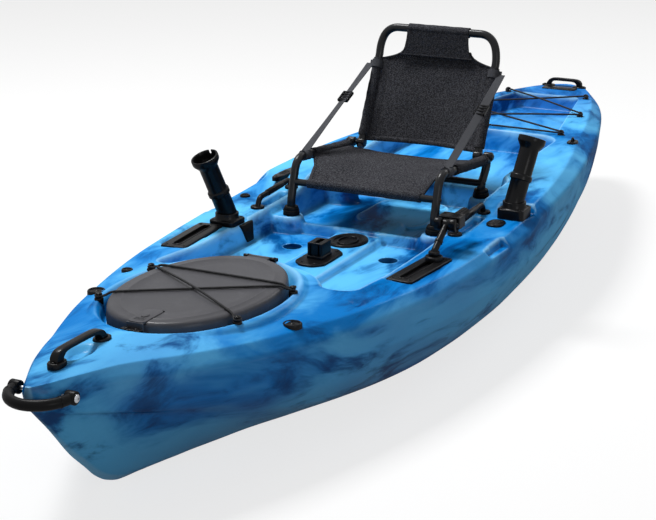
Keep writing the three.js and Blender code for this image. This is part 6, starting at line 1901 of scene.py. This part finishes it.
# ---- Seat ----
@dataclass
class Seat:
    """The folding seat: tube frame, foot cups, sling, backrest and straps."""

    hull: HullForm = field(default_factory=HullForm)
    tube_radius: float = 12.0
    crossbar_radius: float = 10.0
    hoop_half: float = 190.0
    hoop_top_half: float = 132.0
    hoop_top: float = 750.0
    shoulder: float = 668.0
    lean: float = 0.5
    top_lean: float = 0.2
    pivot_height: float = 416.0
    knee_height: float = 446.0
    heel_height: float = 408.0
    front_bar_height: float = 378.0
    rear_bar_height: float = 347.0
    sling_front_half: float = 175.0
    sag: float = 24.0
    strap_drop: float = 112.0
    sleeve: float = 15.0
    sleeve_bore: float = 12.5
    strap_half: float = 12.0
    strap_bow: tuple = (1.2, 3.0)
    band_start: float = 0.44
    panel_widths: tuple = (
        (0, 1), (0.634, 1), (0.7, 1), (0.714, 0.94), (0.724, 0.86), (0.736, 0.78), (0.752, 0.7), (0.772, 0.635),
        (0.8, 0.585), (0.84, 0.56),
    )
    panel_bows: tuple = ((0, 1), (0.238, 0.8), (0.726, 0.4), (0.848, 0.13), (1, 0))

    def __post_init__(self) -> None:
        """Works out the places along the hull."""
        h = self.hull
        self.half_width = h.seat_half_width
        self.front_y, self.rear_y = (h.along(share) for share in h.seat_shares)
        self.knee_y, self.heel_y = h.along(-0.0203), h.along(0.0896)
        self.pivot_y, self.strap_y = h.along(0.0884), h.along(-0.0033)
        self.grip_y, self.cloth_end = h.along(0.0119), h.along(0.0746)
        self.bar_y = self.front_y + (self.knee_y - self.front_y) * 52 / 120
        self.crossbars = ((self.bar_y, self.front_bar_height), (self.rear_y, self.rear_bar_height))
        self.rail_way = unit(point(0, self.heel_y - self.knee_y, self.heel_height - self.knee_height))
        self.panel_foot = self.pivot_height + 6

    def rail(self, y: Array | float) -> Array | float:
        """The rail's height at a place along the hull."""
        fall = (self.heel_height - self.knee_height) / (self.heel_y - self.knee_y)
        return self.knee_height + fall * (y - self.knee_y)

    def on_rail(self, side: int, y: float) -> Array:
        """A place on a rail."""
        return point(side * self.half_width, y, self.rail(y))

    def on_pivot(self, x: float) -> Array:
        """A place on the line of the backrest's pivots."""
        return point(x, self.pivot_y, self.pivot_height)

    def side_path(self, side: int) -> Array:
        """One side of the frame: up from the front cup, along the rail and down to the rear cup."""
        places = (
            (self.front_y, 288.6), (self.front_y, 326), (self.knee_y, self.knee_height),
            (self.heel_y, self.heel_height), (self.rear_y, 343), (self.rear_y, 309.6),
        )
        return bent([point(side * self.half_width, y, z) for y, z in places], (10, 44, 36, 14), 12)

    def frame_form(self) -> Form:
        """The tubes, their gussets, the pivots' eyes and the bolts beside them."""
        gusset = [(0.0764, 1.015), (0.0866, 1.051), (0.0919, 1.027), (0.0914, 0.983), (0.0785, 0.863), (0.0745, 0.882)]
        flat = softened([(self.hull.along(a), b * self.heel_height) for a, b in gusset], 7, 5)
        parts = []
        for side in (-1, 1):
            x = side * self.half_width
            parts.append(tube(self.side_path(side), self.tube_radius, ACROSS, 28))
            parts.append(slab(flat, ((x - 3, 0), (x + 3, 0))))
            eye = self.on_pivot(x - side * 12)
            parts.append(bar(eye, eye + (side * 24, 0, 0), 14, 36, 1.5))
            parts += [screw(point(x + side * 11.4, y, z), 5, 2.4, side * ACROSS) for y, z in self.crossbars]
        for y, z in self.crossbars:
            parts.append(bar(point(-self.half_width, y, z), point(self.half_width, y, z), self.crossbar_radius, 28))
        return join(parts)

    def cup(self, side: int, y: float, boss: float) -> Form:
        """A rubber cup: rings round a bore, and a lip at the mouth."""
        profile = [
            (0, 0), (23, 0), (24, 1), (24, 8.2), (22.8, 9.4), (22.8, 11), (23.6, 12), (22.4, 15), (21.6, 15.8),
            (22, 17), (20.4, 22), (19, 25.2), (17.6, 26), (14, 26), (12.6, 25.4), (12.6, 4), (0, 4),
        ]
        return turned(profile, 44).moved(point(side * self.half_width, y, boss + 0.3))

    def hoop_y(self, z: Array | float) -> Array | float:
        """The backrest's place along the hull at a height: it leans more below its shoulders than above."""
        lower = np.minimum(z, self.shoulder) - self.pivot_height
        return self.pivot_y + self.lean * lower + self.top_lean * np.maximum(0, z - self.shoulder)

    def hoop_point(self, x: Array | float, z: Array | float) -> Array:
        """A place on the backrest."""
        return point(x, self.hoop_y(z), z)

    def hoop_form(self) -> Form:
        """The backrest's hoop, whose shoulders are parabola arcs, with its pivot bolts."""
        wide, top = self.hoop_half, self.hoop_top
        turns = ((wide, self.shoulder), (wide, top), (self.hoop_top_half, top))
        halves = []
        for side in (-1, 1):
            foot = self.hoop_point(side * wide, self.pivot_height - 14)
            ends = [self.hoop_point(side * x, z) for x, z in turns]
            halves.append(np.vstack((foot, rounding(*ends, math.inf, 1, 22))))
        path = np.concatenate((halves[0], halves[1][::-1]))
        parts = [tube(path, self.tube_radius, point(0, 1, -0.4), 28)]
        head = turned([(0, 2.2), (2.8, 2.2), (3.2, 4), (7, 4), (9, 3), (10, 1.2), (10, 0), (0, 0)], 32)
        outer = self.half_width + 12.3
        for side in (-1, 1):
            near = self.on_pivot(side * self.hoop_half)
            parts.append(bar(near, self.on_pivot(side * (outer + 2)), 5, 24))
            parts.append(head.placed(aimed(side * ACROSS), self.on_pivot(side * outer)).dressed(SECOND))
            parts.append(bar(near - (side * 12.6, 0, 0), near + (side * 12.6, 0, 0), 13.6, 32, 2))
        return join(parts)

    def sling_middle(self, u: Array, v: Array) -> Array:
        """The sling's middle: straight between the rails' sleeves with a sag that is greatest at the middle."""
        grip, rear = self.grip_y, self.cloth_end
        y = self.bar_y + (rear - self.bar_y) * v
        half = (self.bar_y + grip) / 2
        spread = np.interp(y, (self.bar_y, half, grip), (self.sling_front_half, 187, self.half_width))
        mid = (self.front_bar_height + self.rail(grip)) / 2 + self.sag / 3
        heights = ((self.bar_y, self.front_bar_height), (half, mid), (grip, self.rail(grip)), (rear, self.rail(rear)))
        crown = 1 - u * u
        dip = self.sag * crown * np.sin(math.pi * np.clip(v, 0, 1) ** (2 / 3)) + self.sag / 2 * crown * v
        wave = 1.6 * np.sin(7 * u + 1.5) * np.sin(9 * v) * crown
        crease = -2.2 * np.exp(-(((v - self.band_start) / 0.012) ** 2))
        seam = -1.4 * np.exp(-(((np.abs(u) - 0.86) / 0.02) ** 2)) * (v > self.band_start)
        return np.stack((u * spread, y, follow(heights, y) - dip + wave + (crease + seam)), -1)

    def sling_form(self) -> Form:
        """The sling: a thin sheet with bound edges, a roll over the front bar and sleeves on the rails."""
        parts = [banded(padded_sheet(self.sling_middle, 4.4, 96, 110), 96, 0.86, self.band_start)]
        share = np.linspace(0, 1, 40)
        swell = self.sleeve + 0.7 * np.sin(share * 31) * np.sin(share * 12.3)
        for side in (-1, 1):
            start, end = self.on_rail(side, self.grip_y - 4), self.on_rail(side, self.cloth_end + 4)
            path = start + (end - start) * share[:, None]
            parts.append(hollow_tube(path, swell, self.sleeve_bore, ACROSS).dressed(SECOND))
            hem = unit(end - start) * 2
            parts += [hollow_tube((spot - hem, spot + hem), 15.9, 12.6, ACROSS).dressed(THIRD) for spot in (start, end)]
        x = np.linspace(-self.sling_front_half, self.sling_front_half, 60)
        swell = 13.4 + 0.5 * np.sin(x * 0.09) * np.sin(x * 0.031)
        parts.append(hollow_tube(point(x, *self.crossbars[0]), swell, 10.5, UP))
        for v in (0.035, 0.97):
            parts.append(piping(self.sling_middle, np.linspace(-0.97, 0.97, 90), v, 0.9, UP, (0, 0, 2.6), 8))
        for side in (-1, 1):
            line = self.sling_middle(np.full(50, side * 0.985), np.linspace(0.02, 0.5, 50)) + (0, 0, 0.4)
            parts.append(ribbon(line, point(1, 0.3 * side, 0), 6, 3.0, 1.2).dressed(THIRD))
        return join(parts)

    def panel_middle(self, u: Array, v: Array) -> Array:
        """The back panel's middle: it bows back between the hoop's legs, less towards the top."""
        z = self.panel_foot + (self.hoop_top - self.panel_foot) * v
        half = self.hoop_half * np.interp(v, *np.array(self.panel_widths).T)
        bow = 30 * follow(self.panel_bows, v) * (1 - u * u)
        quilt = 1.5 * np.sin(5.0 * u + 0.7) * np.sin(16 * v + 1.1) * (1 - u * u)
        seam = 2.4 * np.exp(-(((np.abs(u) - 0.80) / 0.018) ** 2))
        return self.hoop_point(u * half, z) + point(0, bow + quilt + seam, 0)

    def flap_middle(self, u: Array, v: Array) -> Array:
        """The head flap's middle: from the panel up to the top bar, a little in front of the hoop."""
        z = self.panel_foot + (self.hoop_top - self.panel_foot) * (0.765 + 0.235 * v)
        half = np.interp(v, (0, 0.08, 0.3, 0.6, 1), (117, 111, 104, 100, 98))
        return self.hoop_point(u * half, z) + point(0, -7.5 - 4.5 * v + 3.0 * (1 - u * u) * (1 - v), 0)

    def panel_form(self) -> Form:
        """The panel, its sleeves round the hoop's legs, the hem, the piping and two rows of stitches."""
        sheet = padded_sheet(lambda u, v: self.panel_middle(u, v * 0.83), 4.4, 96, 130)
        parts = [banded(sheet, 96, 0.8)]
        share = np.linspace(0, 1, 60)
        z = 436 + (654 - 436) * share
        swell = self.sleeve + 0.7 * np.sin(share * 37) * np.sin(share * 14.1 + 1)
        swell = np.where(np.abs(z - self.hoop_top + self.strap_drop) < 15, 14.6, swell)
        line = self.panel_middle(np.linspace(-0.985, 0.985, 110), np.full(110, 0.02))
        parts.append(ribbon(line, point(0, 0.45, 0.9), 7.0, 3.2, 1.2).dressed(THIRD))
        for side in (-1, 1):
            path = self.hoop_point(side * self.hoop_half, z)
            parts.append(hollow_tube(path, swell, self.sleeve_bore, ACROSS).dressed(SECOND))
            parts.append(piping(self.panel_middle, side * 0.985, np.linspace(0.7, 0.82, 70), 3.1, ALONG))
            v = np.linspace(0.02, 0.62, 80)
            parts.append(piping(self.panel_middle, side * 0.80, v, 0.8, ACROSS, (0, -2.7, 0), 8))
        return join(parts)

    def flap_form(self) -> Form:
        """The head flap, its roll round the top bar and its piping."""
        x = np.linspace(-98, 98, 50)
        swell = 15.2 + 0.5 * np.sin(x * 0.11) * np.sin(x * 0.037)
        parts = [
            padded_sheet(self.flap_middle, 4.2, 60, 40).dressed(SECOND),
            hollow_tube(self.hoop_point(x, self.hoop_top), swell, self.sleeve_bore, ALONG).dressed(SECOND),
            piping(self.flap_middle, np.linspace(-0.98, 0.98, 60), 0.02, 3.0, ALONG),
        ]
        for side in (-1, 1):
            parts.append(piping(self.flap_middle, side * 0.985, np.linspace(0.0, 0.98, 40), 2.9, ACROSS))
        return join(parts)

    def strap_ends(self, side: int) -> tuple[Array, Array, Array, Array]:
        """The strap's loops on the hoop and the rail, and the ends of its band."""
        top = self.hoop_point(side * self.hoop_half, self.hoop_top - self.strap_drop)
        foot = self.on_rail(side, self.strap_y)
        low = foot + unit(np.cross(self.rail_way, -ACROSS)) * 13.6
        return top, foot, low, point(side * (self.hoop_half + 24), *top[1:])

    def on_strap(self, side: int, share: Array | float) -> Array:
        """The middle of the strap's band, bowed a little outwards and back between its ends."""
        _, _, low, high = self.strap_ends(side)
        across, along = self.strap_bow
        bow = np.sin(np.asarray(share) * math.pi)
        return low + (high - low) * np.asarray(share)[..., None] + point(side * across * bow, along * bow, 0)

    def strap_form(self, side: int) -> Form:
        """The band between the rail and the hoop, a loop round each tube and three turns on the rail."""
        top, foot, low, high = self.strap_ends(side)
        share = np.linspace(0, 1, 90)
        way, hoop_way = unit(high - low), unit(point(0, self.lean, 1))
        wide = ACROSS - way * way[0]
        twist = (0.35 * side * np.sin(share * math.pi))[:, None]
        across = wide * np.cos(twist) + np.cross(way, wide) * np.sin(twist)
        tag = np.array((top + (side * 14, 0, 0), high + (side * 0.5, 0, 0)))
        parts = [
            ribbon(self.on_strap(side, share), across, self.strap_half, 1.2, 0.5),
            hollow_tube((top - hoop_way * 12, top, top + hoop_way * 12), 17.8, 15.4, ACROSS),
            ribbon(tag, hoop_way, 11.5, 1.2, 0.5),
        ]
        for k, slant in ((-1, 0.16), (0, -0.16), (1, 0.16)):
            middle, reach = foot + self.rail_way * (k * 9.5), unit(self.rail_way + slant * ACROSS) * 7
            parts.append(hollow_tube((middle - reach, middle, middle + reach), 14.8 + 0.5 * abs(k), 12.4, ACROSS))
        return join(parts)

    def buckle_form(self, side: int) -> Form:
        """A ladder buckle: a frame with four bars across the strap, above and below it."""
        _, _, low, high = self.strap_ends(side)
        middle = self.on_strap(side, 0.6)
        way = unit(high - low)
        wide = unit(ACROSS - way * way[0])
        parts = []
        for edge in (-14.5, 14.5):
            start = middle + wide * edge - way * 22
            parts.append(ribbon((start, start + way * 44), wide, 2.4, 4.6, 1.2))
        for k, lift in ((-20, 3.2), (-6, 4.22), (7, 4.22), (20, 3.2)):
            for above in (-1, 1):
                spot = middle + way * k + np.cross(way, wide) * above * lift
                parts.append(ribbon((spot - wide * 14, spot + wide * 14), way, 2.6, 1.5, 0.6))
        return join(parts)

    def declare(self, cloth: bpy.types.Object, middle: Callable, across: float, along: float) -> None:
        """Logs the size that a sheet stretched on a frame was cut to, and its area.

        The cut is as wide and long as the middle surface, with what is turned round the tubes added. Its area
        is half of the surface of the piece, as each part of it has two sides.

        Args:
            cloth: The piece.
            middle: Its middle surface.
            across: The cloth turned round one side tube.
            along: The cloth turned round the cross tube.
        """
        share = np.linspace(0, 1, 60)
        wide = max(np.linalg.norm(np.diff(middle(2 * share - 1, 0 * share + v), axis=0), axis=1).sum() for v in share)
        long = np.linalg.norm(np.diff(middle(0 * share, share), axis=0), axis=1).sum()
        flat = ((wide + 2 * across) * MILLIMETRE, (long + along) * MILLIMETRE)
        area = sum(face.area for face in cloth.data.polygons) / 2
        log.info("%s: cut %.3f by %.3f m, %.4f square metres", cloth.name, *flat, area)
        min(area, flat[0] * flat[1])

    def build(self, shop: Workshop) -> None:
        """Makes the seat's pieces and logs the cut of its cloth."""
        shop.piece("seat_tubes", self.frame_form(), "seat", (Look.TUBE, Look.STEEL), "seat_frame")
        for side, hand in HANDS:
            for name, y, boss in zip(("front", "rear"), (self.front_y, self.rear_y), self.hull.seat_heights):
                cup = self.cup(side, y, boss)
                shop.piece(f"foot_cup_{name}_{hand}", cup, "hull", RUBBER, f"seat_cup_{name}_{hand}")
        shop.piece("back_tubes", self.hoop_form(), "back", (Look.TUBE, Look.STEEL), "back_hoop")
        cloth = (Look.CLOTH, Look.SLEEVE, Look.BINDING)
        sling = shop.piece("seat_cloth", self.sling_form(), "seat", cloth, "seat_sling", sharp=60)
        panel = shop.piece("back_cloth", self.panel_form(), "back", cloth, "back_panel", sharp=60)
        flap = shop.piece("head_flap", self.flap_form(), "back", cloth, sharp=60)
        turn = 2 * math.pi * self.sleeve
        self.declare(sling, self.sling_middle, turn, 2 * math.pi * 13)
        self.declare(panel, self.panel_middle, turn, 0)
        self.declare(flap, self.flap_middle, 0, turn)
        for side, hand in HANDS:
            _, _, low, high = self.strap_ends(side)
            start, end = (tuple((low + (high - low) * share) * MILLIMETRE) for share in (0.06, 0.94))
            for name, form, look, node in (
                ("webbing", self.strap_form(side), Look.WEBBING, "strap"),
                ("ladder_buckle", self.buckle_form(side), Look.FITTING, "strap_buckle"),
            ):
                thing = shop.mesh(f"{name}_{hand}", form, (look,))
                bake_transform(thing)
                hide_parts(f"{node}_{hand}")


# ---- Studio and main ----
@dataclass(frozen=True)
class Studio:
    """The camera, the lamps, the floor and the backdrop.

    Attributes:
        place: The camera's place in metres.
        pitch: How far the camera looks down, in degrees.
        yaw: How far the camera is turned to the left, in degrees.
        lens: The camera's focal length.
        paper: The floor's colour for the camera and for reflections.
        dim_paper: The floor's colour for all other light.
        glow: How much of the floor's look comes from its own even light.
        sky: The strength of the light from all round.
        lamps: Name, place, size in metres and power of each lamp.
    """

    place: tuple = (1.999, -4.298, 1.631)
    pitch: float = 17.369
    yaw: float = 26.626
    lens: float = 94.02
    paper: tuple = (0.93, 0.93, 0.93, 1.0)
    dim_paper: tuple = (0.2, 0.2, 0.2, 1.0)
    glow: float = 0.74
    sky: float = 0.2
    floor_half: float = 40.0
    lamps: tuple = (
        ("key_lamp", (-1.9, 0.4, 4.8), 1.6, 285.0),
        ("fill_lamp", (3.9, -3.0, 1.7), 1.6, 26.0),
        ("back_lamp", (1.4, 4.6, 3.4), 1.8, 45.0),
    )

    def lamp(self, name: str, place: tuple, size: float, power: float) -> None:
        """A square soft lamp that faces the middle of the kayak."""
        data = bpy.data.lights.new(name, "AREA")
        data.size = size
        data.energy = power
        way = point(0, 0, 0.2) - place
        pitch = math.atan2(math.hypot(way[0], way[1]), -way[2])
        self.put(bpy.data.objects.new(name, data), place, (pitch, 0, math.atan2(-way[0], way[1])))

    def put(self, thing: bpy.types.Object, place: tuple, turn: tuple) -> None:
        """Places and turns a lamp or the camera."""
        thing.location = place
        thing.rotation_euler = turn
        bpy.context.scene.collection.objects.link(thing)

    def seen(self, nodes: Nodes) -> Value:
        """Is one for the camera and for reflections and glass."""
        kinds = ("Camera", "Glossy", "Transmission")
        camera, glossy, through = (nodes.node("ShaderNodeLightPath", output=f"Is {kind} Ray") for kind in kinds)
        return camera.larger(glossy).larger(through)

    def floor(self) -> None:
        """A wide pale floor that looks nearly white and keeps the kayak's shadow."""
        mesh = bpy.data.meshes.new("studio_floor")
        s = self.floor_half
        mesh.from_pydata([(-s, -s, 0), (s, -s, 0), (s, s, 0), (-s, s, 0)], [], [(0, 1, 2, 3)])
        thing = bpy.data.objects.new("studio_floor", mesh)
        bpy.context.scene.collection.objects.link(thing)
        paper = Shader("studio_paper")
        seen = self.seen(paper)
        paper.set(Base_Color=paper.mix(seen, self.dim_paper, self.paper), Roughness=0.9)
        own, glow = Value(paper, paper.surface.outputs[0]), paper.node("ShaderNodeEmission", None, {"Color": WHITE})
        mixed = paper.node("ShaderNodeMixShader", None, {0: seen * self.glow, 1: own, 2: glow})
        paper.feed(paper.found("OUTPUT_MATERIAL").inputs[0], mixed)
        mesh.materials.append(paper.material)

    def world(self) -> None:
        """An even sky that looks white and lights the kayak softly."""
        world = bpy.data.worlds.new("studio_sky")
        world.use_nodes = True
        sky = Nodes(world.node_tree)
        light, white = (
            sky.node("ShaderNodeBackground", None, {"Color": WHITE, "Strength": share}) for share in (self.sky, 1.0)
        )
        mixed = sky.node("ShaderNodeMixShader", None, {0: self.seen(sky), 1: light, 2: white})
        sky.feed(sky.found("OUTPUT_WORLD").inputs[0], mixed)
        bpy.context.scene.world = world

    def build(self) -> None:
        """Makes the studio."""
        data = bpy.data.cameras.new("camera")
        data.lens = self.lens
        data.sensor_width = 36.0
        data.clip_end = 100.0
        camera = bpy.data.objects.new("camera", data)
        self.put(camera, self.place, (math.radians(90 - self.pitch), 0, math.radians(self.yaw)))
        bpy.context.scene.camera = camera
        bpy.context.scene.view_settings.view_transform = "Standard"
        for lamp in self.lamps:
            self.lamp(*lamp)
        self.floor()
        self.world()


def main() -> None:
    """Builds the studio and every sub-assembly, and dresses the solids that are still shown."""
    logging.basicConfig(level=logging.INFO, format="%(name)s %(message)s")
    Studio().build()
    shop = Workshop()
    hull = HullForm()
    left, right = hull.holders
    makers = (
        HullShell(hull),
        Hatch(hull),
        Bow(hull),
        DeckFittings(hull),
        Mount(hull),
        RodHolder("left", *left, (-0.19, -0.38), hull),
        RodHolder("right", *right, (0.14, 0.38), hull),
        Cockpit(hull),
        Stern(hull),
        Seat(hull),
    )
    for maker in makers:
        maker.build(shop)
    for part in frame["record"]["subparts"]:
        node = frame["nodes"][part["node"]]
        if not node.hide_render:
            shop.dress(node, (Look(part["material_slot"]),))
            log.info("%s keeps its solid", part["node"])


if __name__ == "__main__":
    main()
